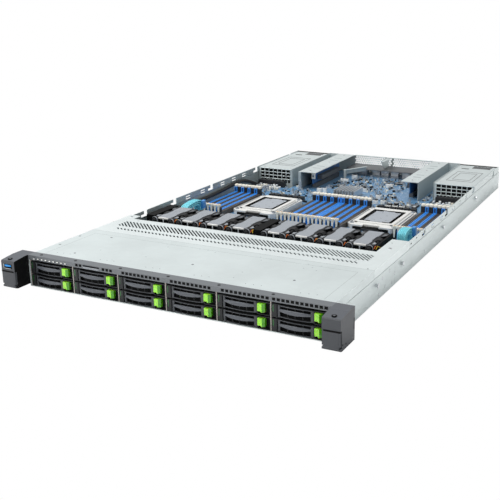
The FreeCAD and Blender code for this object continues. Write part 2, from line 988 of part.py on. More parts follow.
def drive_backplane():
    """The board behind the drives, with an air slot over each plug and one plug for each drive."""
    rear = s.backplane_front + s.backplane_thickness
    plugs = []
    slots = []
    for row in range(ROWS):
        for column in range(COLUMNS):
            centre = bay_left(column) + (s.bay_pitch - s.divider) / 2
            low = tray_bottom(row) + 3.0
            name = "drive_plug_%d_%d" % (row, column)
            front = s.backplane_front - s.drive_plug_depth
            left = centre - s.drive_plug_width / 2
            right = centre + s.drive_plug_width / 2
            top = low + s.drive_plug_height
            plugs.append(block(name, left, front, low, right, s.backplane_front, top))
            air = block(name + "_air", left - 8, s.backplane_front - 1, top + 1.0, right + 8, rear + 1, top + 6.5)
            slots.append(air)
    edge = upper_inside - s.seam_gap
    board = block("backplane_board", -edge, s.backplane_front, s.sheet + 0.2, edge, rear, wall_top - 0.5)
    vented = carve("backplane_vented", board, collect("backplane_air", slots))
    node(collect("drive_backplane", [vented] + plugs), "drive_backplane")


# Covers over the front half

def front_cover():
    """The plain cover over the drives."""
    body = new_body("front_cover")
    start = s.seam_gap
    pad(body, cover_section(cross_sketch(body, start)), s.front_cover_end - start, backward=True)
    node(body, "front_cover")


def slanted_cut(body, row, reach, start):
    """One slot at 45 degrees, from back left to front right, repeated across the cover."""
    lean = s.slot_width / 2 * math.sqrt(0.5)
    sketch = plan_sketch(body, s.body_height)
    outline(sketch, [
        (start - reach - lean, row + reach - lean),
        (start + reach - lean, row - reach - lean),
        (start + reach + lean, row - reach + lean),
        (start - reach + lean, row + reach + lean),
    ])
    repeat(body, pocket(body, sketch, s.sheet * 2), "X_Axis", s.slot_pitch, SLOTS)


def shortened_cuts(body, row, reach, start):
    """Shorter slots that square off both ends of the row."""
    lean = s.slot_width / 2 * math.sqrt(0.5)
    last = start + s.slot_pitch * (SLOTS - 1)
    sketch = plan_sketch(body, s.body_height)
    for number in range(1, SHORT_SLOTS + 1):
        shift = s.slot_pitch * number / 2
        half = reach - shift
        for x, y in ((last + shift, row + shift), (start - shift, row - shift)):
            outline(sketch, [
                (x - half - lean, y + half - lean),
                (x + half - lean, y - half - lean),
                (x + half + lean, y - half + lean),
                (x - half + lean, y + half + lean),
            ])
    pocket(body, sketch, s.sheet * 2)


def vent_cover():
    """The cover before the fans, with a band of diagonal slots, a row of dashes and two side tabs."""
    body = new_body("vent_cover")
    start = s.front_cover_end + s.seam_gap * 2
    pad(body, cover_section(cross_sketch(body, start)), s.right_tab_end - start, backward=True)
    trim = plan_sketch(body, s.body_height)
    right_edge = half_width - s.right_tab
    left_edge = -half_width + s.left_tab
    beyond = s.right_tab_end + 1
    outside = -half_width - 1
    outline(trim, [
        (right_edge, beyond),
        (outside, beyond),
        (outside, s.left_tab_end),
        (left_edge, s.left_tab_end),
        (left_edge, s.vent_cover_end),
        (right_edge, s.vent_cover_end),
    ])
    pocket(body, trim, s.body_height)
    slanted_cut(body, s.slot_row, s.slot_reach, s.slot_start)
    shortened_cuts(body, s.slot_row, s.slot_reach, s.slot_start)
    slanted_cut(body, s.dash_row, s.dash_reach, s.slot_start)
    node(body, "vent_cover")


# Rack ears and their flaps

ear_outer = s.rack_width / 2
ear_front = -s.ear_reach
flap_back = ear_front + s.flap_thickness
flap_axis = ear_front + s.flap_thickness / 2


def right_ear():
    """The right ear: a fixed head over a hollow that the flap closes, and lugs for the flap's pin."""
    body = new_body("right_ear")
    width = ear_outer - half_width
    inner_wall = half_width + s.ear_wall
    outer_wall = ear_outer - s.ear_wall
    corner = s.ear_corner
    profile = [
        (0, s.ear_bottom),
        (0, s.body_height),
        (-s.ear_slope_start, s.body_height),
        (ear_front + corner, s.ear_front_top),
        (ear_front, s.ear_front_top - corner),
        (ear_front, s.ear_seam),
        (flap_back + s.flap_gap, s.ear_seam),
        (flap_back + s.flap_gap, s.ear_bottom),
    ]
    pad(body, outline(side_sketch(body, half_width), profile), width)

    # the hollow behind the flap
    hollow = cross_sketch(body, ear_front - 1)
    rectangle(hollow, inner_wall, s.ear_bottom + s.ear_wall, outer_wall, s.ear_seam)
    pocket(body, hollow, s.ear_reach + 1 - s.ear_back)
    screw_place = (half_width + ear_outer) / 2
    hole = ring(cross_sketch(body, 0), screw_place, s.rack_screw_level, s.rack_screw_hole)
    pocket(body, hole, None)

    # lugs and pin of the flap
    for start, length in ((half_width, s.ear_wall - 0.2), (outer_wall + 0.2, s.ear_wall - 0.2)):
        lug = side_sketch(body, start)
        low = s.flap_pin_level - s.flap_thickness / 2
        rectangle(lug, flap_axis, low, flap_back + s.flap_gap, s.flap_pin_level + s.flap_thickness / 2)
        pad(body, lug, length)
        eye = many_sided(side_sketch(body, start), flap_axis, s.flap_pin_level, s.flap_thickness / 2, HUB_SIDES)
        pad(body, eye, length)
    pin = many_sided(side_sketch(body, half_width + 0.2), flap_axis, s.flap_pin_level, s.flap_pin, PIN_SIDES)
    pad(body, pin, width - 0.4)
    return body


def rack_ears():
    """Both ears; the left one has the opening of the front USB port in its head."""
    right = right_ear()
    plain_left = mirror("plain_left_ear", right)
    left, low, right_edge, high = usb_opening()
    front = ear_front - 1
    rear = ear_front + s.usb_depth
    hole = block("usb_hole", left, front, low, right_edge, rear, high)
    left_ear = carve("left_ear", plain_left, hole)
    node(collect("rack_ears", [right, left_ear]), "rack_ears")


def usb_opening():
    """The left, low, right and high limits of the front USB port's opening."""
    centre = -(half_width + ear_outer) / 2
    left = centre - s.usb_width / 2
    return left, s.usb_level, left + s.usb_width, s.usb_level + s.usb_height


def right_flap():
    """The plate over the rack screw, with a barrel at the bottom for its pin."""
    body = new_body("right_flap")
    left = half_width + s.seam_gap
    right = ear_outer - s.seam_gap
    top = s.ear_seam - s.flap_gap
    plate = side_sketch(body, left)
    rectangle(plate, ear_front, s.flap_notch, flap_back, top)
    pad(body, plate, right - left)
    barrel_left = half_width + s.ear_wall
    barrel_right = ear_outer - s.ear_wall
    stem = side_sketch(body, barrel_left)
    rectangle(stem, ear_front, s.flap_pin_level, flap_back, s.flap_notch)
    pad(body, stem, barrel_right - barrel_left)
    barrel_radius = s.flap_thickness / 2
    barrel = many_sided(side_sketch(body, barrel_left), flap_axis, s.flap_pin_level, barrel_radius, HUB_SIDES)
    pad(body, barrel, barrel_right - barrel_left)
    bore_radius = s.flap_pin + s.flap_pin_gap
    bore = many_sided(side_sketch(body, 0), flap_axis, s.flap_pin_level, bore_radius, PIN_SIDES, around=True)
    pocket(body, bore, None)
    return body


def ear_flaps():
    right = right_flap()
    node(right, "ear_flap_right")
    node(mirror("ear_flap_left", right), "ear_flap_left")


# Fans

fan_centre_level = s.fan_low + s.fan_height / 2


def fan_places():
    """The middle of each fan, from left to right."""
    places = []
    for start in (s.left_fans, s.right_fans):
        for number in range(FANS_A_SIDE):
            places.append(start + s.fan_pitch * number)
    return places


def fan_frame():
    """One housing about its own axis: a square tube with a round bore, waists, vanes and motor base."""
    body = new_body("fan_frame")
    half = s.fan_width / 2
    tall = s.fan_height / 2
    corner = s.fan_corner
    tube = cross_sketch(body, 0)
    outline(tube, [
        (-half + corner, -tall),
        (half - corner, -tall),
        (half, -tall + corner),
        (half, tall - corner),
        (half - corner, tall),
        (-half + corner, tall),
        (-half, tall - corner),
        (-half, -tall + corner),
    ])
    many_sided(tube, 0, 0, s.fan_bore, BORE_SIDES, around=True)
    pad(body, tube, s.fan_length, backward=True)
    waist = cross_sketch(body, s.waist_start)
    for x in (-half, half - s.waist_cut):
        for z in (-tall, tall - s.waist_cut):
            rectangle(waist, x, z, x + s.waist_cut, z + s.waist_cut)
    repeat(body, pocket(body, waist, s.waist_length), "Y_Axis", s.waist_pitch, 2)

    # motor base carried by four guide vanes
    motor = many_sided(cross_sketch(body, s.motor_start), 0, 0, s.motor_radius, HUB_SIDES)
    pad(body, motor, s.vane_start + s.vane_depth - s.motor_start, backward=True)
    reach = s.fan_bore + 0.3
    slim = s.vane_width / 2
    pad(body, rectangle(cross_sketch(body, s.vane_start), -reach, -slim, reach, slim), s.vane_depth, backward=True)
    pad(body, rectangle(cross_sketch(body, s.vane_start), -slim, -reach, slim, reach), s.vane_depth, backward=True)
    bore = many_sided(cross_sketch(body, s.motor_start), 0, 0, s.shaft + s.shaft_gap, PIN_SIDES, around=True)
    pocket(body, bore, s.shaft_depth + 1)
    return body


def fan_rotor():
    """One impeller about its own axis: hub with a stepped nose, shaft and five pitched, cambered blades."""
    body = new_body("fan_rotor")
    hub_start = s.rotor_start + s.rotor_nose
    nose_radius = s.motor_radius - s.rotor_nose / 2
    nose = many_sided(cross_sketch(body, s.rotor_start), 0, 0, nose_radius, HUB_SIDES)
    pad(body, nose, s.rotor_nose, backward=True)
    hub = many_sided(cross_sketch(body, hub_start), 0, 0, s.motor_radius, HUB_SIDES)
    pad(body, hub, s.rotor_end - hub_start, backward=True)
    shaft = many_sided(cross_sketch(body, s.rotor_end), 0, 0, s.shaft, PIN_SIDES)
    pad(body, shaft, s.motor_start + s.shaft_depth - s.rotor_end, backward=True)

    # one blade, drawn square to its radius and turned by its pitch
    root = s.motor_radius * 0.8
    section = side_sketch(body, root)
    section.AttachmentOffset = FreeCAD.Placement(
        FreeCAD.Vector(), FreeCAD.Rotation(FreeCAD.Vector(0, 0, 1), 1.0))
    bind(section, "AttachmentOffset.Base.x", (s.rotor_start + s.rotor_end) / 2)
    bind(section, "AttachmentOffset.Base.z", root)
    bind(section, "AttachmentOffset.Rotation.Angle", s.blade_angle)
    half = s.blade_chord / 2
    thick = s.blade_thickness / 2
    outline(section, [
        (-half, -thick / 2),
        (0, s.blade_camber - thick),
        (half, -thick / 2),
        (half, thick / 2),
        (0, s.blade_camber + thick),
        (-half, thick / 2),
    ])
    blade = pad(body, section, s.blade_tip - root)
    wheel = body.newObject("PartDesign::PolarPattern", "fan_rotor_wheel")
    wheel.Originals = [blade]
    axis = [item for item in body.Origin.OriginFeatures if item.Role == "Y_Axis"][0]
    wheel.Axis = (axis, [""])
    wheel.Angle = 360
    wheel.Occurrences = BLADES
    body.Tip = wheel
    return body


def fans():
    """Eight housings in one node, and eight rotors that each turn on their own."""
    frame = fan_frame()
    rotor = fan_rotor()
    housings = []
    for number, place in enumerate(fan_places(), 1):
        housings.append(copy_at("fan_housing_%d" % number, [frame], place, s.fan_front, fan_centre_level))
        wheel = copy_at("fan_rotor_%d" % number, [rotor], place, s.fan_front, fan_centre_level)
        node(wheel, "fan_rotor_%d" % number)
    node(collect("fan_housings", housings), "fan_housings")


def fan_baffles():
    """The black blocks that close the wall of fans at its left end, middle and right end."""
    half_fan = s.fan_width / 2
    places = fan_places()
    gap = 0.4
    left_edge = places[0] - half_fan - gap
    middle_left = places[FANS_A_SIDE - 1] + half_fan + gap
    middle_right = places[FANS_A_SIDE] - half_fan - gap
    right_edge = places[-1] + half_fan + gap
    front = s.fan_front
    rear = front + s.fan_length
    top = s.baffle_height
    floor = s.sheet
    blocks = [
        block("baffle_left", left_edge - s.baffle_width, front + 6, floor, left_edge, rear + 8, top),
        block("baffle_middle", middle_left, front, floor, middle_right, rear, top),
        block("baffle_right", right_edge, front, floor, right_edge + 3, rear, top),
    ]
    node(collect("fan_baffles", blocks), "fan_baffles")


# Motherboard and what stands on it

def motherboard():
    """The main board, narrower between the two power supplies."""
    body = new_body("motherboard")
    plan = plan_sketch(body, s.board_level)
    outline(plan, [
        (-s.board_half_width, s.board_front),
        (s.board_half_width, s.board_front),
        (s.board_half_width, s.board_step),
        (s.board_neck, s.board_step),
        (s.board_neck, s.board_rear),
        (-s.board_neck, s.board_rear),
        (-s.board_neck, s.board_step),
        (-s.board_half_width, s.board_step),
    ])
    pad(body, plan, s.board_thickness)
    node(body, "motherboard")


def memory_places():
    """The middle of each memory slot, from left to right."""
    places = []
    groups = ((s.left_memory, SIDE_MEMORY), (s.middle_memory, MIDDLE_MEMORY), (s.right_memory, SIDE_MEMORY))
    for start, count in groups:
        for number in range(count):
            places.append(start + s.memory_pitch * number)
    return places


def memory():
    """Thirty-two memory slots, each grooved on top, with a standing latch at both ends."""
    slots = []
    latches = []
    half = s.memory_width / 2
    slim = s.memory_groove / 2
    front = s.memory_front + s.latch_depth
    rear = s.memory_rear - s.latch_depth
    top = board_top + s.memory_height
    for number, place in enumerate(memory_places(), 1):
        name = "memory_slot_%02d" % number
        bar = block(name + "_bar", place - half, front, board_top, place + half, rear, top)
        groove_low = top - s.memory_groove_depth
        groove = block(name + "_groove", place - slim, front + 3, groove_low, place + slim, rear - 3, top + 1)
        slots.append(carve(name, bar, groove))
        for side, y, lean in (("front", s.memory_front, 1), ("rear", rear, 0)):
            latch = document.addObject("Part::Wedge", name + "_latch_" + side)
            bind(latch, "Xmin", 0)
            bind(latch, "Xmax", s.memory_width)
            bind(latch, "X2min", (s.memory_width - s.memory_latch_top) / 2)
            bind(latch, "X2max", (s.memory_width + s.memory_latch_top) / 2)
            bind(latch, "Ymin", 0)
            bind(latch, "Ymax", s.memory_latch_height)
            bind(latch, "Zmin", 0)
            bind(latch, "Zmax", s.latch_depth)
            low_side = s.latch_depth * (0.0 if lean else 0.45)
            high_side = s.latch_depth * (0.55 if lean else 1.0)
            bind(latch, "Z2min", low_side)
            bind(latch, "Z2max", high_side)
            latch.Placement = FreeCAD.Placement(
                FreeCAD.Vector(), FreeCAD.Rotation(FreeCAD.Vector(1, 0, 0), 90))
            move(latch, place - half, y + s.latch_depth, board_top)
            latches.append(latch)
    node(collect("dimm_slots", slots), "dimm_slots")
    node(collect("dimm_latches", latches), "dimm_latches")


def socket_frame():
    """One processor socket about its own middle: load frame with a window and open front corners."""
    body = new_body("socket_frame")
    half = s.socket_width / 2
    long_half = s.socket_length / 2
    corner = 9.0
    notch = 14.0
    plan = plan_sketch(body, 0)
    outline(plan, [
        (-half + corner, -long_half),
        (-notch, -long_half),
        (-notch, -long_half + 7),
        (notch, -long_half + 7),
        (notch, -long_half),
        (half - corner, -long_half),
        (half, -long_half + corner),
        (half, long_half - corner),
        (half - corner, long_half),
        (-half + corner, long_half),
        (-half, long_half - corner),
        (-half, -long_half + corner),
    ])
    window = s.socket_window / 2
    window_long = s.socket_window_length / 2
    rectangle(plan, -window, -window_long, window, window_long)
    pad(body, plan, s.socket_height)
    return body


def cpu_sockets():
    """Two sockets, each a load frame and a grey cap over the contacts."""
    frame = socket_frame()
    cap_half = s.cap_width / 2
    cap_long = s.cap_length / 2
    base = block("socket_cap_base", -cap_half, -cap_long, 0, cap_half, cap_long, s.cap_height * 0.7)
    inset = 5.0
    lid = block("socket_cap_lid", -cap_half + inset, -cap_long + inset, s.cap_height * 0.7,
                cap_half - inset, cap_long - inset, s.cap_height)
    cap = join("socket_cap", [base, lid])
    pieces = []
    for number, place in enumerate((s.left_socket, s.right_socket), 1):
        pieces.append(copy_at("socket_%d" % number, [frame, cap], place, s.socket_row, board_top))
    node(collect("cpu_sockets", pieces), "cpu_sockets")


def board_parts():
    """The larger parts on the main board: coils, connectors, a finned chip cooler and supply sockets."""
    pieces = []

    def part_block(name, x, y, width, depth, height):
        z = board_top
        pieces.append(block(name, x, y, z, x + width, y + depth, z + height))

    # coils in a row behind each socket
    for side, socket in (("left", s.left_socket), ("right", s.right_socket)):
        for number in range(6):
            start = socket - 36.0 + number * 12.0
            part_block("coil_%s_%d" % (side, number), start, s.memory_rear + 6, 9.6, 10.0, 8.0)
            part_block("front_coil_%s_%d" % (side, number), start, s.memory_front - 16, 9.6, 10.0, 7.0)

    # connectors along the front edge
    for number in range(4):
        x = as_dimension(-150.0 + number * 92.0)
        part_block("fan_plug_%d" % number, x, s.board_front + 6, 18.0, 8.0, 9.0)
    for number in range(3):
        x = as_dimension(-20.0 + number * 26.0)
        part_block("data_plug_%d" % number, x, s.board_front + 26, 22.0, 7.0, 10.0)

    # chip cooler with fins
    cooler_x = as_dimension(-34.0)
    cooler_y = s.memory_rear + 62
    fins = [block("cooler_base", cooler_x, cooler_y, board_top, cooler_x + 42, cooler_y + 42, board_top + 3)]
    for number in range(8):
        x = cooler_x + number * 5.7
        fins.append(block("cooler_fin_%d" % number, x, cooler_y, board_top + 2, x + 2.1, cooler_y + 42, board_top + 14))
    pieces.append(join("chip_cooler", fins))

    # sockets for the edge boards of the supplies
    for side, sign in (("left", -1), ("right", 1)):
        centre = (supply_inner + supply_outer) / 2 * sign
        rear = supply_front - s.supply_edge_board - 0.3
        pieces.append(block("supply_socket_" + side, centre - 28, rear - 12, board_top,
                            centre + 28, rear, board_top + 12))
    node(collect("board_parts", pieces), "board_parts")


def io_ports():
    """Rear port shells that stand on the board and reach through the rear wall, and the front USB port."""
    pieces = []
    for number, (x, z, width, height) in enumerate(rear_ports(), 1):
        name = "rear_port_%d" % number
        front = s.body_depth - 17
        foot = block(name + "_foot", x - width / 2, front, board_top, x + width / 2, rear_inside - 0.5, z)
        case = block(name + "_case", x - width / 2, front, z, x + width / 2, s.body_depth + 0.6, z + height)
        shell = join(name + "_shell", [foot, case])
        rim = 1.2
        mouth = block(name + "_mouth", x - width / 2 + rim, s.body_depth - 9, z + rim,
                      x + width / 2 - rim, s.body_depth + 1.6, z + height - rim)
        pieces.append(carve(name, shell, mouth))
    left, low, right, high = usb_opening()
    gap = 0.15
    front = ear_front - 0.3
    rear = ear_front + s.usb_depth - gap
    shell = block("usb_shell_block", left + gap, front, low + gap, right - gap, rear, high - gap)
    wall = s.usb_shell + gap
    inside = block("usb_inside", left + wall, front - 1, low + wall, right - wall, rear - 1, high - wall)
    pieces.append(carve("usb_shell", shell, inside))
    tongue_top = high - wall - 0.5
    tongue = block("usb_tongue", left + wall + 0.8, front + 1.2, tongue_top - 1.8,
                   right - wall - 0.8, rear - 1, tongue_top)
    pieces.append(tongue)
    node(collect("io_ports", pieces), "io_ports")


# Rear: risers, supply cage and shelf

def riser_cages():
    """Two sheet cages over the riser boards, each a top plate and a side wall."""
    low = board_top + 0.1
    plate_low = wall_top - s.sheet
    rear = rear_inside - 0.2
    sides = []
    for name, left, width, wall_side in (
        ("left", s.left_riser, s.left_riser_width, -1),
        ("right", s.right_riser, s.right_riser_width, 1),
    ):
        right = left + width
        plate = block("riser_plate_" + name, left, s.riser_front, plate_low, right, rear, wall_top)
        wall_left = left if wall_side < 0 else right - s.sheet
        wall = block("riser_wall_" + name, wall_left, s.riser_front, low, wall_left + s.sheet, rear, wall_top)
        sides.append(join("riser_cage_" + name, [plate, wall]))
    return sides


def riser_cards():
    """Two upright riser boards, each in its board slot and with a card slot on its inner face."""
    pieces = []
    front = s.riser_front + 14
    for name, place, side in (("left", s.left_riser + 22, 1), ("right", s.right_riser + 12, -1)):
        rear = front + 130
        base_top = board_top + s.riser_slot_height
        centre = place + s.riser_board / 2
        pieces.append(block("riser_base_" + name, centre - 4, front + 8, board_top, centre + 4, rear - 8, base_top))
        pieces.append(block("riser_board_" + name, place, front, base_top, place + s.riser_board, rear,
                            wall_top - s.sheet - 0.3))
        slot_low = base_top + 6
        if side > 0:
            near = place + s.riser_board
            far = near + 11
        else:
            far = place
            near = far - 11
        pieces.append(block("card_slot_" + name, near, front + 20, slot_low, far, rear - 20, slot_low + 8))
    node(collect("riser_cards", pieces), "riser_cards")


def rear_cage():
    """The riser cages, the walls beside the supplies and the dark rear shelf."""
    pieces = riser_cages()
    rear = rear_inside - 0.1
    for name, sign in (("left", -1), ("right", 1)):
        near = cage_wall * sign
        far = (cage_wall - s.sheet) * sign
        low_x, high_x = (near, far) if sign < 0 else (far, near)
        pieces.append(block("cage_wall_" + name, low_x, s.board_step + 16, s.sheet, high_x, rear, wall_top))
    shelf_left = s.left_riser + s.left_riser_width + 2
    shelf_right = s.right_riser - 2
    pieces.append(block("rear_shelf", shelf_left, s.shelf_front, s.shelf_level, shelf_right, rear, s.shelf_level + s.sheet))
    node(collect("rear_cage", pieces), "rear_cage")


# Power supplies

def right_supply():
    """A supply with a grille at its inner end, a mains inlet, a fan recess and lugs for its handle."""
    body = new_body("right_supply")
    low = s.sheet + 0.3
    high = low + s.supply_height
    block_face = cross_sketch(body, supply_front)
    rectangle(block_face, supply_inner, low, supply_outer, high)
    pad(body, block_face, s.supply_length, backward=True)

    # grille of upright slots at the inner end
    grille = cross_sketch(body, supply_front)
    start = supply_inner + 5
    rectangle(grille, start, low + 12, start + 4.4, high - 3)
    repeat(body, pocket(body, grille, 3.0), "X_Axis", as_dimension(6.6), 10)

    # edge board that plugs into the main board
    edge = cross_sketch(body, supply_front - s.supply_edge_board)
    centre = (supply_inner + supply_outer) / 2
    rectangle(edge, centre - 25, low + 7, centre + 25, low + 8.6)
    pad(body, edge, s.supply_edge_board, backward=True)

    # mains inlet and fan recess at the rear
    inlet_left = supply_inner + 4
    inlet = cross_sketch(body, s.body_depth)
    rectangle(inlet, inlet_left, low + 8, inlet_left + s.inlet_width, low + 8 + s.inlet_height)
    pocket(body, inlet, s.inlet_depth, forward=True)
    fan = many_sided(cross_sketch(body, s.body_depth), supply_outer - 20, low + 20, s.supply_fan, BORE_SIDES)
    pocket(body, fan, 3.0, forward=True)

    # lugs on both sides of the handle
    left, right = handle_span()
    for lug_left in (left - 2.2, right + 0.2):
        lug = side_sketch(body, lug_left)
        half = as_dimension(2.0)
        rectangle(lug, s.body_depth, s.handle_level - half, s.body_depth + s.handle_stand + half, s.handle_level + half)
        eye = s.handle_pin + s.handle_pin_gap
        many_sided(lug, s.body_depth + s.handle_stand, s.handle_level, eye, PIN_SIDES, around=True)
        pad(body, lug, 2.0)
    return body


def handle_span():
    """The left and right limits of the right supply's handle."""
    centre = supply_outer - 24
    return centre - s.handle_width / 2, centre + s.handle_width / 2


def right_handle():
    """A bail that hangs against the supply's rear and swings up to pull it out."""
    body = new_body("right_handle")
    left, right = handle_span()
    bar = s.handle_bar
    thick = bar
    face = s.body_depth + s.handle_stand - thick / 2
    top = s.handle_level + bar / 2
    low = s.handle_level - s.handle_drop
    loop = cross_sketch(body, face)
    outline(loop, [
        (left, low),
        (right, low),
        (right, top),
        (right - bar, top),
        (right - bar, low + bar),
        (left + bar, low + bar),
        (left + bar, top),
        (left, top),
    ])
    pad(body, loop, thick, backward=True)
    axle_y = s.body_depth + s.handle_stand
    for start, length in ((left - 2.0, as_dimension(3.0)), (right - 1.0, as_dimension(3.0))):
        axle = many_sided(side_sketch(body, start), axle_y, s.handle_level, s.handle_pin, PIN_SIDES)
        pad(body, axle, length)
    return body


def supplies():
    supply = right_supply()
    handle = right_handle()
    node(supply, "psu_right")
    node(handle, "psu_handle_right")
    node(mirror("psu_left", supply), "psu_left")
    node(mirror("psu_handle_left", handle), "psu_handle_left")


# Fasteners

def fasteners():
    """Rail studs, strip screws, captive rack screws and board stand-offs, all fixed pieces."""
    pieces = []
    for number, y in enumerate((126.2, 223.2, 419.4, 624.0)):
        for side, sign, axis in (("left", -1, "-x"), ("right", 1, "x")):
            name = "rail_stud_%s_%d" % (side, number)
            face = half_width * sign
            tip = (half_width + s.stud_neck_length) * sign
            neck = prism(name + "_neck", face, y, s.stud_level, s.stud_neck, s.stud_neck_length, axis, HUB_SIDES)
            head = prism(name + "_head", tip, y, s.stud_level, s.stud_head, s.stud_head_length, axis, HUB_SIDES)
            pieces.append(join(name, [neck, head]))
    strip_places = [s.first_strip_screw] + [s.bay_pitch * (number - 2) for number in range(COLUMNS - 1)]
    for number, x in enumerate(strip_places):
        head = s.strip_screw_head
        y = -s.strip_depth / 2
        name = "strip_screw_%d" % number
        pieces.append(prism(name, x, y, s.body_height, s.strip_screw, head, "z", HUB_SIDES))
    screw_x = (half_width + ear_outer) / 2
    for side, sign in (("left", -1), ("right", 1)):
        x = screw_x * sign
        head_start = -s.ear_back - 8.2
        head = prism("rack_screw_head_" + side, x, head_start, s.rack_screw_level, 4.6, 8.0, "y", HUB_SIDES)
        neck_start = -s.ear_back - 1.0
        neck_length = 0.2 - neck_start
        level = s.rack_screw_level
        neck_radius = s.rack_screw - 0.2
        neck = prism("rack_screw_neck_" + side, x, neck_start, level, neck_radius, neck_length, "y", PIN_SIDES)
        thread = rod("rack_screw_thread_" + side, x, 0.2, level, s.rack_screw, 7.8, "y")
        pieces.append(join("rack_screw_" + side, [head, neck, thread]))
    for number, (x, y) in enumerate((
        (-190.0, 330.0), (0.0, 330.0), (190.0, 330.0), (-190.0, 560.0), (0.0, 560.0), (190.0, 560.0),
        (-120.0, 790.0), (0.0, 790.0), (120.0, 790.0),
    )):
        height = s.board_level - s.sheet
        pieces.append(prism("standoff_%d" % number, x, y, s.sheet, s.standoff, height, "z", 6))
    node(collect("fasteners", pieces), "fasteners")


# Cables

def bent_path(corners):
    """Straight runs joined by tangent arcs, each as large as its two runs allow."""
    vectors = [FreeCAD.Vector(*corner) for corner in corners]
    edges = []
    here = vectors[0]
    for before, corner, after in zip(vectors, vectors[1:], vectors[2:]):
        run_in = corner - before
        run_out = after - corner
        shorter = min(run_in.Length, run_out.Length)
        turn = run_in.getAngle(run_out)
        setback = 0.45 * shorter
        start = corner - run_in.normalize() * setback
        end = corner + run_out.normalize() * setback
        radius = setback / math.tan(turn / 2)
        towards = (start + end) * 0.5 - corner
        centre_way = FreeCAD.Vector(towards)
        centre_way.normalize()
        middle = corner + centre_way * (math.hypot(setback, radius) - radius)
        edges.append(Part.LineSegment(here, start).toShape())
        edges.append(Part.Arc(start, middle, end).toShape())
        here = end
    edges.append(Part.LineSegment(here, vectors[-1]).toShape())
    return Part.Wire(edges)


def swept(name, corners, profile):
    """A cable of one section along a bent path."""
    piece = document.addObject("Part::Feature", name)
    piece.Shape = bent_path(corners).makePipeShell([profile], True, False)
    return piece


def wire_harness():
    """The black bundle along the left wall, from the fans to the supply's connector on the board."""
    radius = float(s.harness)
    rest = float(board_top + s.cable_rest) + radius
    wall = -float(half_width - s.sheet - s.cable_rest) + radius
    corners = [
        (-204.0, 299.5, 33.0),
        (-206.0, 316.0, 30.0),
        (wall, 345.0, 22.0),
        (wall, 480.0, 23.5),
        (wall, 545.0, 29.5),
        (-209.0, 575.0, 24.0),
        (-203.0, 600.0, rest),
    ]
    start = FreeCAD.Vector(*corners[0])
    run = FreeCAD.Vector(*corners[1]) - start
    turn = FreeCAD.Rotation(FreeCAD.Vector(0, 0, 1), run)
    spots = []
    for number in range(HUB_SIDES + 1):
        angle = math.pi * 2 * number / HUB_SIDES
        spot = FreeCAD.Vector(radius * math.cos(angle), radius * math.sin(angle), 0)
        spots.append(start + turn.multVec(spot))
    node(swept("wire_harness", corners, Part.makePolygon(spots)), "wire_harness")


def ribbon(name, x, corners):
    """A flat cable that stands on its edge boards in the plane of Y and Z, of even width across X."""
    half = float(s.ribbon) / 2
    y, z = corners[0]
    side = float(s.ribbon_width) / 2
    points = [(x - side, y - half, z), (x + side, y - half, z), (x + side, y + half, z), (x - side, y + half, z)]
    section = Part.makePolygon([FreeCAD.Vector(*point) for point in points + points[:1]])
    return swept(name, [(x, y, z) for y, z in corners], section)


def flat_cables():
    """Two flat cables that arch up behind the fans, each plugged in at both ends."""
    socket = float(board_top + s.cable_plug + s.cable_rest)
    left, right = -178.0, 190.0
    front, left_rear, right_rear = 308.0, 352.0, 344.0
    left_route = [(front, socket), (front, 36.0), (left_rear, 40.0), (left_rear, socket)]
    right_route = [(front, socket), (front, 38.0), (right_rear, 38.0), (right_rear, socket)]
    pieces = [ribbon("flat_cable_left", left, left_route), ribbon("flat_cable_right", right, right_route)]
    half_wide = s.ribbon_width / 2 + 1.0
    half_deep = 3.0
    for plug_name, x, y in (
        ("left_front", left, front), ("left_rear", left, left_rear),
        ("right_front", right, front), ("right_rear", right, right_rear),
    ):
        plug = block("cable_plug_" + plug_name, x - half_wide, y - half_deep, board_top,
                     x + half_wide, y + half_deep, board_top + s.cable_plug)
        pieces.append(plug)
    node(collect("flat_cables", pieces), "flat_cables")


BUILDERS = [
    chassis_tray,
    front_frame,
    power_button,
    info_tag,
    drive_cage,
    drive_trays,
    drive_backplane,
    front_cover,
    vent_cover,
    rack_ears,
    ear_flaps,
    fans,
    fan_baffles,
    motherboard,
    memory,
    cpu_sockets,
    board_parts,
    io_ports,
    riser_cards,
    rear_cage,
    supplies,
    fasteners,
    wire_harness,
    flat_cables,
]


def check_everything():
    """Stop with the name of the first object that failed or whose shape is not sound."""
    for item in document.Objects:
        if "Invalid" in item.State or "Error" in item.State:
            raise RuntimeError("%s failed: %s" % (item.Name, item.State))
    for piece in nodes:
        if piece.Shape.isNull() or not piece.Shape.isValid():
            raise RuntimeError("%s has no sound shape" % piece.Label)


def main():
    for builder in BUILDERS:
        builder()
    document.recompute()
    check_everything()
    os.makedirs("parts", exist_ok=True)
    for piece in nodes:
        piece.Shape.exportStep("parts/%s.step" % piece.Label)
    print("%d nodes" % len(nodes))


main()
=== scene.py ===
"""Looks of a 1u rack server with its main lid off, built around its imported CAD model.

The file is laid out as an add-on. Property groups hold the sizes and colours, one operator makes each
group of like pieces, and a panel lists the operators. Shapes are drawn in millimetres in the CAD frame:
X to the right as seen from the front, Y to the rear, Z up, and turned to metres when a piece is finished.
"""

import math
import random

import bmesh
import bpy
from bpy.props import FloatProperty, FloatVectorProperty, PointerProperty
from mathutils import Matrix, Vector


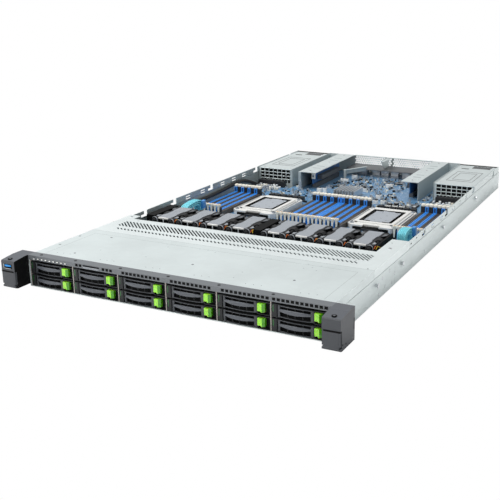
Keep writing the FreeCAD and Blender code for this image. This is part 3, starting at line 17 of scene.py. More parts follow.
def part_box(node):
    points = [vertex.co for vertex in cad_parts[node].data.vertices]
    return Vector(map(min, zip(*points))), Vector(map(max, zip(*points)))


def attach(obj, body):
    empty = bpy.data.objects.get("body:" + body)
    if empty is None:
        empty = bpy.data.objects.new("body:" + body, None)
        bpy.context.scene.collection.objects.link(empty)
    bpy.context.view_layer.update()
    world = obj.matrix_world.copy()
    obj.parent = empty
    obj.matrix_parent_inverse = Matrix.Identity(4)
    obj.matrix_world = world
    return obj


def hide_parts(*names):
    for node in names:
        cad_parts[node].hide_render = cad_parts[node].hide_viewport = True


bl_info = {
    "name": "Rack server looks",
    "version": (1, 0, 0),
    "blender": (4, 5, 0),
    "location": "View3D > Sidebar > Server",
    "description": "Finishes and detail pieces of a 1u rack server",
    "category": "Object",
}

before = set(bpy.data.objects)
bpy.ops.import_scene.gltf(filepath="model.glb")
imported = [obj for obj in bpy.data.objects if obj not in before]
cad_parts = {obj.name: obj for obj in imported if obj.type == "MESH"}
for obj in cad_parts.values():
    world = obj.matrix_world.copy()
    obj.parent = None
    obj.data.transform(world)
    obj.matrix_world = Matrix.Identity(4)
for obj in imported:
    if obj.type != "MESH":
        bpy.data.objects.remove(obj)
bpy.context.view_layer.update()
# sizes are in millimetres here, and in metres in Blender and the frame
METRE = 1000.0


# Colours and sizes that a user would change

def linear(code):
    """A colour written as an sRGB hex value, turned to linear light."""
    channels = []
    for start in (1, 3, 5):
        value = int(code[start:start + 2], 16) / 255
        channels.append(value / 12.92 if value <= 0.04045 else ((value + 0.055) / 1.055) ** 2.4)
    return (*channels, 1.0)


COLOURS = {
    "cover_zinc": ("#DBE4E4", "Zinc-plated sheet of the covers, walls and supplies"),
    # the darker zinc is painted shade on the inner faces of the chassis and cages, on a bracket and in the
    # riser plates' slots; it also draws joints, seams, specks and rivet rims
    "inner_zinc": ("#AEB9BB", "Zinc-plated sheet inside the chassis, which sees less light"),
    "divider_zinc": ("#B5AFA8", "Warm zinc-plated sheet of the bay dividers"),
    "strip_coat": ("#72767A", "Grey powder coat of the front strip"),
    "ear_plastic": ("#42454A", "Dark grey plastic of the ears and flaps"),
    "tray_plastic": ("#232527", "Grey plastic of the tray fronts"),
    "lever_plastic": ("#3E4146", "Grey plastic of the tray levers"),
    "deep_black": ("#0B0C0D", "Unlit space and black plastic"),
    "latch_green": ("#4FA00F", "Lime green plastic of the shaded sides of the tray latches"),
    "vent_zinc": ("#E7EFEF", "Zinc-plated steel of the vent cover, a batch lighter"),
    "latch_light": ("#A2EE3E", "Lit front of the tray latches"),
    "pipe_green": ("#1F5C2A", "Dark green of the light pipes"),
    "port_blue": ("#1E8FE0", "Blue tongue and shell of the front port"),
    "board_blue": ("#4A80AC", "Solder resist of the main board"),
    "board_light": ("#B9CFDF", "Tinned copper and print on the main board"),
    "riser_blue": ("#1F5C9C", "Solder resist of the riser boards"),
    "slot_blue": ("#3A8EE2", "Blue memory slots"),
    "slot_black": ("#4B443E", "Black memory slots"),
    "latch_cream": ("#F1ECDD", "Cream plastic of the memory latches"),
    "latch_dot": ("#C08A4A", "Moulding marks on the memory latches"),
    "socket_steel": ("#E8E8E5", "Nickel-plated load frames of the processor sockets"),
    "cap_grey": ("#A4AAB1", "Grey caps over the processor sockets"),
    "fan_grey": ("#969BA1", "Light grey plastic of the fan tops"),
    "fan_dark": ("#1B1C1E", "Dark grey plastic of the fan bodies"),
    "fan_middle": ("#62666B", "Shaded grey plastic of the fan shoulders and the button"),
    "port_shell": ("#C9CDD0", "Shell of the front port"),
    "outside_light": ("#F7F9FA", "Light that shows through the rear mesh"),
    "rubber_black": ("#17181A", "Rubber of the fan mounts"),
    "cable_cyan": ("#86E2F8", "Jacket of the flat cables"),
    "connector_blue": ("#4A93D8", "Plugs of the flat cables"),
    "harness_black": ("#1E1E20", "Sleeve of the wire harness"),
    "lead_orange": ("#F07A30", "Orange fan leads"),
    "lead_yellow": ("#F2C230", "Yellow fan leads"),
    "chip_black": ("#1D1E21", "Moulded bodies of chips and coils"),
    "can_silver": ("#D9DDE0", "Aluminium cans, screws and small plated parts"),
    "gold": ("#D8B25A", "Gold-plated contacts"),
    # the supplies' embossing drawn in this colour is painted shade along its edges
    "shelf_steel": ("#5A5C5E", "Dark painted steel of the rear shelf and the supplies' embossing"),
    "white_plastic": ("#EEF0EE", "White connectors, lamps and the button's mark"),
    "floor_white": ("#FFFFFF", "Floor and background"),
}

SIZES = {
    "lever_bulge": (2.2, "How far the lever's plate bows forward"),
    "bar_bulge": (3.7, "How far the lever's middle bar bows forward"),
    "bar_height": (5.2, "Height of the lever's middle bar"),
    "lever_edge": (1.0, "Height of the lever's upper and lower bars"),
    "window_rib": (0.6, "Width of the ribs between the lever's windows"),
    "mount_radius": (4.6, "Radius of a fan's rubber mounts"),
    "harness_width": (6.4, "Diameter of the wire harness"),
    "flat_cable_width": (13.5, "Width of a flat cable"),
    "lead_width": (1.1, "Diameter of a fan lead"),
    "mesh_pitch": (4.7, "Pitch of the six-sided holes in the rear mesh"),
    "rivet_radius": (1.9, "Radius of the rivets in the side walls"),
    "dot_radius": (0.7, "Radius of the small holes near the front edge of the cover"),
}


def colour_property(code, text):
    return FloatVectorProperty(name=text.split(" of ")[0], description=text, subtype="COLOR", size=4,
                               min=0, max=1, default=linear(code))


def size_property(value, text):
    return FloatProperty(name=text.split(",")[0], description=text, unit="LENGTH", min=0,
                         default=value / METRE)


class ServerColours(bpy.types.PropertyGroup):
    """Colours of the finishes"""
    __annotations__ = {name: colour_property(*entry) for name, entry in COLOURS.items()}


class ServerSizes(bpy.types.PropertyGroup):
    """Sizes of the detail pieces"""
    __annotations__ = {name: size_property(*entry) for name, entry in SIZES.items()}


def colour(name):
    return tuple(getattr(bpy.context.scene.server_colours, name))


def size(name):
    """A size in millimetres."""
    return getattr(bpy.context.scene.server_sizes, name) * METRE


def place_of(node):
    """The lowest and highest corners of a CAD node, in millimetres."""
    low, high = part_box(node)
    return low * METRE, high * METRE


def new_object(name, data):
    """An object of some data, linked to the scene."""
    made = bpy.data.objects.new(name, data)
    bpy.context.scene.collection.objects.link(made)
    return made


# Materials

def add(tree, kind, settings=None, links=None):
    """One shader node with its settings and the sockets that feed it."""
    node = tree.nodes.new(kind)
    for key, value in (settings or {}).items():
        if isinstance(key, int) or key in node.inputs:
            node.inputs[key].default_value = value
        else:
            setattr(node, key, value)
    for key, source in (links or {}).items():
        tree.links.new(source, node.inputs[key])
    return node


def start_finish(name, settings):
    """A material with one main shader, and the object's own coordinates in millimetres."""
    material = bpy.data.materials.new(name)
    material.use_nodes = True
    tree = material.node_tree
    tree.nodes.clear()
    shader = add(tree, "ShaderNodeBsdfPrincipled", settings)
    add(tree, "ShaderNodeOutputMaterial", links={"Surface": shader.outputs["BSDF"]})
    where = add(tree, "ShaderNodeTexCoord")
    spread = add(tree, "ShaderNodeMapping", {"Scale": (METRE,) * 3}, {"Vector": where.outputs["Object"]})
    return material, tree, shader, spread.outputs["Vector"]


def tint(base, amount):
    """A colour made lighter or darker by a share."""
    return tuple(min(1.0, channel * amount) for channel in base[:3]) + (1.0,)


def follow(tree, shader, pattern, tones, strength, depth, height=None):
    """The colour runs between two tones as a pattern does; the surface rises with it, or with another one."""
    mix = add(tree, "ShaderNodeMix", {"data_type": "RGBA", 6: tones[0], 7: tones[1]}, {0: pattern})
    tree.links.new(mix.outputs[2], shader.inputs["Base Color"])
    bump = add(tree, "ShaderNodeBump", {"Strength": strength, "Distance": depth / METRE},
               {"Height": pattern if height is None else height})
    tree.links.new(bump.outputs["Normal"], shader.inputs["Normal"])


def grained(name, base, settings, grain, strength, depth, dark, light):
    """A finish whose tone and relief follow one fine grain; grain and depth are in millimetres."""
    material, tree, shader, where = start_finish(name, settings)
    noise = add(tree, "ShaderNodeTexNoise", {"Scale": 1 / grain, "Detail": 2.0}, {"Vector": where})
    follow(tree, shader, noise.outputs["Fac"], (tint(base, dark), tint(base, light)), strength, depth)
    return material


def zinc_sheet(name, base, metallic=0.45):
    """Hot-dip zinc-plated steel sheet: soft crystal patches 9 mm wide and a rolled grain along the sheet."""
    spangle, cloud, roughness = 9.0, 60.0, 0.38
    material, tree, shader, where = start_finish(name, {"Metallic": metallic, "Roughness": roughness})
    patches = add(tree, "ShaderNodeTexVoronoi", {"Scale": 1 / spangle, "Randomness": 1.0}, {"Vector": where})
    soft = add(tree, "ShaderNodeTexNoise", {"Scale": 1 / cloud, "Detail": 3.0}, {"Vector": where})
    shade = add(tree, "ShaderNodeMath", {"operation": "MULTIPLY_ADD", 1: 0.35},
                {0: patches.outputs["Color"], 2: soft.outputs["Fac"]})
    rolled = add(tree, "ShaderNodeMapping", {"Scale": (1.6, 0.05, 1.6)}, {"Vector": where})
    grain = add(tree, "ShaderNodeTexNoise", {"Scale": 1.0, "Detail": 2.0},
                {"Vector": rolled.outputs["Vector"]})
    tones = (tint(base, 0.93), tint(base, 1.04))
    follow(tree, shader, shade.outputs[0], tones, strength=0.12, depth=0.15, height=grain.outputs["Fac"])
    rough = add(tree, "ShaderNodeMapRange", {"To Min": roughness - 0.05, "To Max": roughness + 0.09},
                {"Value": soft.outputs["Fac"]})
    tree.links.new(rough.outputs[0], shader.inputs["Roughness"])
    return material


def powder_coat(name, base):
    """Powder-coated steel: an even skin with a fine orange peel about a millimetre wide."""
    settings = {"Roughness": 0.46, "Metallic": 0.15}
    return grained(name, base, settings, grain=0.9, strength=0.25, depth=0.2, dark=0.9, light=1.1)


def moulded(name, base, roughness=0.42, grain=0.7, spread=0.12, shine=0.5):
    """Injection-moulded plastic with a fine spark-eroded texture."""
    settings = {"Roughness": roughness, "Specular IOR Level": shine}
    return grained(name, base, settings, grain, strength=0.2, depth=0.12, dark=1 - spread, light=1 + spread)


def clear_lime(name, base):
    """Tinted translucent plastic: glossy, with light that spreads a little inside it."""
    settings = {"Roughness": 0.18, "Coat Weight": 0.4, "Subsurface Weight": 0.25, "Subsurface Scale": 0.003}
    return grained(name, base, settings, grain=3.0, strength=0.06, depth=0.3, dark=0.95, light=1.06)


def plated(name, base, roughness=0.28, metallic=0.75):
    """Nickel, tin or gold plating with fine handling marks."""
    settings = {"Metallic": metallic, "Roughness": roughness}
    return grained(name, base, settings, grain=2.5, strength=0.08, depth=0.1, dark=0.88, light=1.08)


def board_resist(name, base, print_tone, scale=1.0):
    """Solder resist over copper: traces in two directions, pads and lighter print, drawn coarse to show."""
    material, tree, shader, where = start_finish(name, {"Roughness": 0.33, "Coat Weight": 0.25})
    zones, pads = [
        add(tree, "ShaderNodeTexVoronoi", {"Scale": 1 / (width * scale), "distance": "CHEBYCHEV"},
            {"Vector": where}) for width in (26, 5.2)]
    lines, rows = [
        add(tree, "ShaderNodeTexWave", {
            "wave_type": "BANDS", "bands_direction": direction, "Scale": close / scale,
            "Distortion": bend, "Detail": 1.0}, {"Vector": where})
        for direction, close, bend in (("X", 0.19, 1.6), ("Y", 0.14, 1.2))]
    split = add(tree, "ShaderNodeSeparateColor", links={0: zones.outputs["Color"]})
    pick = add(tree, "ShaderNodeMath", {"operation": "GREATER_THAN", 1: 0.5}, {0: split.outputs[0]})
    traces = add(tree, "ShaderNodeMix",
                 links={0: pick.outputs[0], 2: lines.outputs["Fac"], 3: rows.outputs["Fac"]})
    sharp = add(tree, "ShaderNodeMapRange", {"From Min": 0.62, "From Max": 0.9}, {"Value": traces.outputs[0]})
    spots = add(tree, "ShaderNodeMath", {"operation": "LESS_THAN", 1: 0.17}, {0: pads.outputs["Distance"]})
    both = add(tree, "ShaderNodeMath", {"operation": "MULTIPLY_ADD", 1: 0.34, "use_clamp": True},
               {0: sharp.outputs[0], 2: spots.outputs[0]})
    follow(tree, shader, both.outputs[0], (base, print_tone), strength=0.2, depth=0.1)
    return material


def ribbed(name, base, settings, bands, strength, depth, dark, light):
    """A finish whose tone and relief follow straight bands across the piece."""
    material, tree, shader, where = start_finish(name, settings)
    wave = add(tree, "ShaderNodeTexWave", {"wave_type": "BANDS", **bands}, {"Vector": where})
    follow(tree, shader, wave.outputs["Fac"], (tint(base, dark), tint(base, light)), strength, depth)
    return material


def slot_plastic(name, base):
    """Glass-filled plastic of a memory slot, with the row of contact cells along it, drawn 2.4 mm apart."""
    bands = {"bands_direction": "Y", "Scale": 0.13, "Distortion": 0.0}
    return ribbed(name, base, {"Roughness": 0.35}, bands, strength=0.3, depth=0.3, dark=0.88, light=1.3)


def sleeve(name, base, twist=1.4):
    """Braided or ribbed jacket of a cable, its ribs a millimetre or two apart."""
    bands = {"bands_direction": "DIAGONAL", "Scale": 0.3 / twist, "Distortion": 0.8}
    return ribbed(name, base, {"Roughness": 0.5}, bands, strength=0.35, depth=0.4, dark=0.7, light=1.2)


def glowing(name, base):
    """Daylight seen through the rear mesh: an even pale glow, so it has no grain of its own."""
    settings = {"Base Color": base, "Emission Color": base, "Emission Strength": 0.75, "Roughness": 1.0}
    return start_finish(name, settings)[0]


FINISHES = {}


def make_finishes():
    """Every finish once, by its plain name."""
    FINISHES.update({
        "cover zinc": zinc_sheet("zinc_cover_sheet", colour("cover_zinc")),
        # a darker copy of the zinc sheet, painted as shade where faces get less light, and also used for dark
        # marks
        "inner zinc": zinc_sheet("zinc_sheet_shade_and_marks", colour("inner_zinc"), metallic=0.15),
        # the rear mesh is the cover's zinc painted darker as shade
        "mesh zinc": zinc_sheet("zinc_rear_mesh_shade", tint(colour("cover_zinc"), 0.62)),
        "vent zinc": zinc_sheet("zinc_vent_sheet", colour("vent_zinc")),
        "emboss line": zinc_sheet("zinc_emboss_shadow", tint(colour("cover_zinc"), 0.6)),
        "divider zinc": zinc_sheet("zinc_divider_sheet", colour("divider_zinc")),
        "strip coat": powder_coat("powder_coat_grey", colour("strip_coat")),
        # dark steel, and painted shade on the supplies' embossing
        "shelf steel": powder_coat("painted_steel_and_emboss_shade", colour("shelf_steel")),
        "ear plastic": moulded("moulded_ear_plastic", colour("ear_plastic"), 0.48),
        "tray plastic": moulded("moulded_tray_plastic", colour("tray_plastic"), 0.45, shine=0.35),
        # the lever's middle bar is the lever plastic painted lighter as a highlight
        "bar plastic": moulded("moulded_bar_plastic_highlight", tint(colour("lever_plastic"), 2.0), 0.3),
        # the ears' tops are the ear plastic painted lighter, as a painted highlight
        "ear top highlight": moulded("moulded_ear_top_highlight", tint(colour("ear_plastic"), 1.7), 0.4),
        "lever plastic": moulded("moulded_lever_plastic", colour("lever_plastic"), 0.3),
        # black plastic, and painted shade wherever it stands for unlit space
        "black": moulded("black_plastic_and_painted_shade", colour("deep_black"), 0.6, shine=0.12),
        "rubber": moulded("moulded_rubber", colour("rubber_black"), 0.7, 1.2, shine=0.2),
        "latch green": clear_lime("tinted_lime_shaded_sides", colour("latch_green")),
        "latch light": clear_lime("tinted_lime_lit_face", colour("latch_light")),
        "pipe green": clear_lime("tinted_light_pipe", colour("pipe_green")),
        "port blue": moulded("moulded_port_blue", colour("port_blue"), 0.35),
        "board": board_resist("blue_solder_resist", colour("board_blue"), colour("board_light")),
        "riser board": board_resist(
            "deep_blue_solder_resist", colour("riser_blue"), colour("board_blue"), 0.7),
        "slot blue": slot_plastic("slot_plastic_blue", colour("slot_blue")),
        "slot black": slot_plastic("slot_plastic_black", colour("slot_black")),
        "latch dot": moulded("moulded_latch_dot", colour("latch_dot"), 0.5),
        "latch cream": moulded("moulded_cream_plastic", colour("latch_cream"), 0.4, 1.0, 0.06),
        "socket steel": plated("nickel_load_frame", colour("socket_steel"), 0.4, 0.1),
        "cap grey": moulded("moulded_cap_grey", colour("cap_grey"), 0.5),
        "fan grey": moulded("moulded_fan_grey", colour("fan_grey"), 0.5, 1.0, 0.07),
        "fan dark": moulded("moulded_fan_dark", colour("fan_dark"), 0.5, shine=0.3),
        "fan middle": moulded("moulded_fan_middle", colour("fan_middle"), 0.45),
        "outside light": glowing("outside_light", colour("outside_light")),
        "cable cyan": sleeve("ribbed_cyan_jacket", colour("cable_cyan")),
        "connector blue": moulded("moulded_connector_blue", colour("connector_blue"), 0.4),
        "harness": sleeve("braided_black_sleeve", colour("harness_black"), 2.0),
        "orange": sleeve("orange_lead_jacket", colour("lead_orange")),
        "yellow": sleeve("yellow_lead_jacket", colour("lead_yellow")),
        "chip": moulded("moulded_chip_epoxy", colour("chip_black"), 0.5),
        "silver": plated("bright_plating", colour("can_silver")),
        "port shell": plated("port_shell_plating", colour("port_shell")),
        "gold": plated("gold_plating", colour("gold")),
        "white": moulded("moulded_white_plastic", colour("white_plastic"), 0.35, 1.0, 0.03),
    })


# Shapes

class Shape:
    """A mesh in the making, in millimetres, with a finish for each of its parts."""

    # where a smooth piece's faces meet at more than this angle, in degrees, the edge stays sharp
    sharp_angle = 38

    def __init__(self, finishes=None):
        self.mesh = bmesh.new()
        self.finishes = [] if finishes is None else finishes

    def dress(self, verts, finish):
        """Give the faces of some new vertices a finish."""
        if finish not in self.finishes:
            self.finishes.append(finish)
        index = self.finishes.index(finish)
        faces = {face for vert in verts for face in vert.link_faces}
        for face in faces:
            face.material_index = index
        return faces

    def box(self, low, high, finish, bevel=0.0, segments=1):
        """A block between two corners, with softened edges if asked."""
        low = Vector(low)
        high = Vector(high)
        place = Matrix.Translation((low + high) / 2) @ Matrix.Diagonal((*(high - low), 1.0))
        faces = self.dress(bmesh.ops.create_cube(self.mesh, size=1.0, matrix=place)["verts"], finish)
        if bevel:
            edges = list({edge for face in faces for edge in face.edges})
            bmesh.ops.bevel(self.mesh, geom=edges, offset=bevel, offset_type="OFFSET", segments=segments,
                            profile=0.5, affect="EDGES", material=-1, clamp_overlap=True)

    def boxes(self, rows):
        """Several blocks, each row as box takes it."""
        for row in rows:
            self.box(*row)

    def rod(self, start, end, radius, finish, sides=16, far_radius=None):
        """A round bar or cone between two points."""
        start = Vector(start)
        end = Vector(end)
        run = end - start
        place = Matrix.Translation((start + end) / 2) @ run.to_track_quat("Z", "Y").to_matrix().to_4x4()
        verts = bmesh.ops.create_cone(
            self.mesh, cap_ends=True, segments=sides, radius1=radius,
            radius2=radius if far_radius is None else far_radius, depth=run.length, matrix=place)["verts"]
        self.dress(verts, finish)

    def post(self, centre, rise, radius, finish, sides=16, far_radius=None):
        """A rod that stands upright on a point."""
        self.rod(centre, Vector(centre) + Vector((0, 0, rise)), radius, finish, sides, far_radius)

    def ball(self, centre, radius, finish, squash=(1, 1, 1)):
        """A round blob, squashed along its axes if asked."""
        place = Matrix.Translation(centre) @ Matrix.Diagonal((*squash, 1.0))
        verts = bmesh.ops.create_uvsphere(
            self.mesh, u_segments=12, v_segments=8, radius=radius, matrix=place)["verts"]
        self.dress(verts, finish)

    def plate(self, corners, thickness, finish):
        """A flat plate with the given outline, grown along a direction of given length."""
        verts = [self.mesh.verts.new(corner) for corner in corners]
        grown = bmesh.ops.extrude_face_region(self.mesh, geom=[self.mesh.faces.new(verts)])["geom"]
        moved = [item for item in grown if isinstance(item, bmesh.types.BMVert)]
        bmesh.ops.translate(self.mesh, vec=thickness, verts=moved)
        self.dress(verts + moved, finish)

    def screw(self, centre, radius, finish, height=0.6):
        """A pan-head screw with its cross recess drawn as a black mark of painted shade, its head up."""
        self.post(centre, height, radius, finish, 12, radius * 0.86)
        self.post(Vector(centre) + Vector((0, 0, height)), 0.04, radius * 0.42, "black", 4)

    def cut_across(self, places):
        """Cut the mesh across X at some places, so that it can bend there."""
        for x in places:
            parts = self.mesh.verts[:] + self.mesh.edges[:] + self.mesh.faces[:]
            bmesh.ops.bisect_plane(self.mesh, geom=parts, plane_co=(x, 0, 0), plane_no=(1, 0, 0))

    def take(self, other):
        """Take over the mesh of a shape that was made apart, with the same list of finishes."""
        joined = bpy.data.meshes.new("joined")
        other.mesh.to_mesh(joined)
        other.mesh.free()
        self.mesh.from_mesh(joined)
        bpy.data.meshes.remove(joined)

    def move(self, way):
        """Shift all that is made so far."""
        bmesh.ops.translate(self.mesh, vec=way, verts=self.mesh.verts)

    def finish(self, name, body, slot, replaces=(), smooth=False):
        """Make the piece an object that rides on a body."""
        bmesh.ops.recalc_face_normals(self.mesh, faces=self.mesh.faces)
        bmesh.ops.scale(self.mesh, vec=(1 / METRE,) * 3, verts=self.mesh.verts)
        data = bpy.data.meshes.new(name)
        self.mesh.to_mesh(data)
        self.mesh.free()
        for finish in self.finishes:
            data.materials.append(FINISHES[finish])
        if smooth:
            data.polygons.foreach_set("use_smooth", [True] * len(data.polygons))
            data.set_sharp_from_angle(angle=math.radians(self.sharp_angle))
        piece = new_object(name, data)
        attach(piece, body)
        if replaces:
            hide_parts(*replaces)


# Shared places, in millimetres

COVER_TOP = 43.5
# the front of the strip and of the trays below it
STRIP_FRONT = -13.5
BOARD_TOP = 8.0
FAN_PLACES = [start + 44.4 * number for start in (-165.9, 25.9) for number in range(4)]
SOCKET_PLACES = [(-104.0, 454.5), (109.0, 454.5)]
SIDES = {"left": -1, "right": 1}


def tray_corner(number):
    """The lower front left corner of a tray's front."""
    low = place_of("drive_tray_%02d" % number)[0]
    return Vector((low.x, STRIP_FRONT, low.z))


def memory_places():
    """The middle of each memory slot with its finish, from left to right."""
    blue, black = "slot blue", "slot black"
    rows = [
        (-203.0, [blue, black] * 4),
        (-42.0, [black, blue] * 4 + [blue, black] * 4),
        (159.0, [black, blue] * 4),
    ]
    return [(start + 7.0 * number, finish) for start, order in rows for number, finish in enumerate(order)]


# Finishes of the CAD nodes

def paint(node_name, finishes, choose=None):
    """Give a CAD node its finishes; choose picks one by a face's middle, in millimetres, and normal."""
    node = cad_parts[node_name]
    node.data.materials.clear()
    for finish in finishes:
        node.data.materials.append(FINISHES[finish])
    for face in node.data.polygons:
        face.material_index = int(choose(face.center * METRE, face.normal)) if choose else 0


class SERVER_OT_sheet_metal(bpy.types.Operator):
    """Zinc-plated finish of the chassis, covers, dividers, cages and supplies, and the board's resist"""
    bl_idname = "server.sheet_metal"
    bl_label = "Sheet metal"

    def execute(self, context):
        paint("chassis_tray", ["cover zinc", "inner zinc"], self.inner_face)
        paint("front_cover", ["cover zinc"])
        paint("vent_cover", ["vent zinc"])
        paint("drive_cage", ["divider zinc"])
        # the risers' top plates are painted in the lighter zinc as lit and the cage's other faces in the
        # darker zinc as shade, and the shelf behind the board is dark
        paint("rear_cage", ["inner zinc", "shelf steel", "cover zinc"],
              lambda middle, normal: 2 if middle.z > 41.3 else 22.9 < middle.z < 24.1)
        for side in SIDES:
            # painted black as shade inside the supply's inner opening, and dark at its rear end
            paint("psu_" + side, ["cover zinc", "black"],
                  lambda middle, normal: 630.5 < middle.y < 633.2 or 798 < middle.y < 814.6)
            paint("psu_handle_" + side, ["silver"])
        # the screws on the strip are dark
        paint("fasteners", ["silver", "fan dark"],
              lambda middle, normal: middle.y < 0 and middle.z > 42 and abs(middle.x) < 215)
        paint("motherboard", ["board"])
        # the drive connectors stand before the backplane's own board
        paint("drive_backplane", ["riser board", "black"], lambda middle, normal: middle.y < 100.9)
        return {"FINISHED"}

    def inner_face(self, middle, normal):
        """The floor's upper side and the inner sides of the walls, painted in the darker zinc as shade."""
        floor = abs(middle.x) < 218.6 and 1.05 > middle.z > 0.95
        return floor or middle.x < -216 and normal.x > 0.6 or middle.x > 216 and normal.x < -0.6


class SERVER_OT_front_plastics(bpy.types.Operator):
    """Plastics and coats of the strip, ears, flaps, trays, button and tag"""
    bl_idname = "server.front_plastics"
    bl_label = "Front plastics"

    def execute(self, context):
        # the walls of the holes in the strip are painted black as shade
        paint("front_frame", ["strip coat", "black"],
              lambda middle, normal: 36.9 < middle.z < 42.9 and middle.y > -13.4)
        paint("power_button", ["fan middle"])
        paint("info_tag", ["fan grey"])
        paint("rack_ears", ["ear plastic", "black", "ear top highlight"], self.ear_face)
        for side in SIDES:
            paint("ear_flap_" + side, ["ear plastic"])
        for number in range(1, 13):
            corner = tray_corner(number)
            paint("drive_tray_%02d" % number,
                  ["tray plastic", "latch green", "black", "cover zinc", "latch light"],
                  lambda middle, normal: self.tray_face(middle - corner, normal))
        return {"FINISHED"}

    def ear_face(self, middle, normal):
        """The sides towards the bays are painted black as shade, and the top is painted lighter as the light
        falling on it.
        """
        if abs(middle.x) < 222 and normal.x * middle.x < -0.5:
            return 1
        return 2 if normal.z > 0.7 and middle.z > 41 else 0

    def tray_face(self, local, normal):
        """The latch's front and top are painted as lit and its sides as shaded, the carrier behind is steel,
        and the gap between and the walls of the latch's pocket are painted black as shade.
        """
        if 54.9 < local.x < 63.9 and 3.3 < local.z < 13.9 and local.y < 4.0:
            return 4 if normal.y < -0.95 or normal.z > 0.5 else 1
        if local.y > 3.9:
            return 3 if local.y > 5.7 else 2
        if local.x > 54.5 and 0.9 < local.z < 15.0 and abs(normal.y) < 0.5:
            return 2
        return 0


class SERVER_OT_board_plastics(bpy.types.Operator):
    """Finishes of the memory slots, sockets, board parts, fans and ports"""
    bl_idname = "server.board_plastics"
    bl_label = "Board plastics"

    def execute(self, context):
        places = memory_places()

        def slot_face(middle, normal):
            nearest = min(places, key=lambda place: abs(place[0] - middle.x))
            return nearest[1] == "slot black"

        paint("dimm_slots", ["slot blue", "slot black"], slot_face)
        paint("cpu_sockets", ["socket steel", "cap grey", "black"], self.socket_face)
        paint("board_parts", ["chip", "silver", "white"], self.part_face)
        # the two upright boards, and the slots that stand on them
        paint("riser_cards", ["riser board", "shelf steel"],
              lambda middle, normal: not (-99.1 < middle.x < -97.3 or 96.9 < middle.x < 98.7))
        paint("io_ports", ["silver", "black"], lambda middle, normal: middle.y < 0)
        paint("fan_baffles", ["black"])
        for name in ("fan_housings", *("fan_rotor_%d" % number for number in range(1, 9))):
            paint(name, ["fan dark"])
        return {"FINISHED"}

    def socket_face(self, middle, normal):
        """The cap's lid is grey, its lower rim is painted black as the shade of the gap round it, and the
        rest is the load frame.
        """
        half_width, half_length, lid = 26.6, 36.2, 17.0
        for x, y in SOCKET_PLACES:
            if abs(middle.x - x) < half_width and abs(middle.y - y) < half_length:
                return 1 if middle.z > lid else 2
        return 0

    def part_face(self, middle, normal):
        """The heat sink is bright, the plugs behind the fans are white, and the rest is moulded black."""
        if -35 < middle.x < 9 and 580 < middle.y < 623:
            return 1
        return 2 if middle.y < 340 and middle.z > 9 and abs(middle.x) < 60 else 0


# Front

class SERVER_OT_tray_levers(bpy.types.Operator):
    """Twelve barred levers with smooth bows, and the light pipe and the bay painted dark as shade on each
    tray front
    """
    bl_idname = "server.tray_levers"
    bl_label = "Tray levers"

    def execute(self, context):
        for number in range(1, 13):
            self.lever(number)
            self.trim(number)
        return {"FINISHED"}

    def lever(self, number):
        """A bowed plate with four windows, the middle bar and the hinge post."""
        shape = Shape()
        left, right, low, high = 9.2, 53.0, 0.8, 15.1
        front, back = 0.4, 2.6
        windows_left, windows_right = 10.9, 49.4
        rib = size("window_rib")
        bulge = size("lever_bulge")
        edge = size("lever_edge")
        pitch = (windows_right - windows_left + rib) / 4
        foot = low + edge
        head = high - edge
        shape.boxes((
            ((left, front, head), (right, back, high), "lever plastic", 0.25),
            ((left, front, low), (right, back, foot), "lever plastic", 0.25),
            ((left, front, foot), (windows_left - rib * 0.2, back, head), "lever plastic"),
            ((windows_right, front, foot), (right, back, head), "lever plastic", 0.2),
        ))
        for step in range(1, 4):
            x = windows_left + pitch * step - rib
            shape.box((x, front + 1.1, foot), (x + rib, back, head), "tray plastic")
        shape.cut_across(range(12, 52, 3))
        for vert in shape.mesh.verts:
            share = (vert.co.x - left) / (right - left)
            vert.co.y -= bulge * 4 * share * (1 - share)
        self.middle_bar(shape, front, back, (low + high) / 2)
        shape.rod((9.0, 1.9, low), (9.0, 1.9, high), 1.75, "lever plastic")
        shape.move(tray_corner(number))
        node = "tray_lever_%02d" % number
        shape.finish("lever_grille_%02d" % number, node, "charcoal_plastic", [node], smooth=True)

    def middle_bar(self, shape, front, back, centre):
        """A rounded bar, thickest in its middle, that bows further than the plate and stands a bit high; it
        is the lever's plastic painted lighter as a highlight.
        """
        bar = Shape(shape.finishes)
        tall = size("bar_height")
        deep = size("bar_bulge")
        start, end = 9.3, 50.6
        rounding, raised, end_share, cuts = 2.0, 1.1, 0.55, 14
        low = centre - tall / 2 + raised
        bar.box((start, front, low), (end, back, low + tall), "bar plastic", rounding, 4)
        bar.cut_across(start + (end - start) * step / cuts for step in range(1, cuts))
        middle = low + tall / 2
        for vert in bar.mesh.verts:
            share = min(1.0, max(0.0, (vert.co.x - start) / (end - start)))
            bow = 4 * share * (1 - share)
            vert.co.z = middle + (vert.co.z - middle) * (end_share + (1 - end_share) * bow)
            vert.co.y -= deep * bow
        shape.take(bar)

    def trim(self, number):
        """The light pipe beside the lever, and black plates of painted shade in the latch's pocket and behind
        the windows.
        """
        shape = Shape()
        shape.boxes((
            ((1.35, 0.1, 6.1), (3.05, 1.7, 14.9), "pipe green", 0.2),
            ((54.7, 3.2, 1.0), (69.7, 3.6, 14.8), "black"),
            ((9.5, 3.5, 0.9), (54.0, 3.8, 15.2), "black"),
        ))
        shape.move(tray_corner(number))
        shape.finish("tray_trim_%02d" % number, "drive_tray_%02d" % number, "charcoal_plastic")


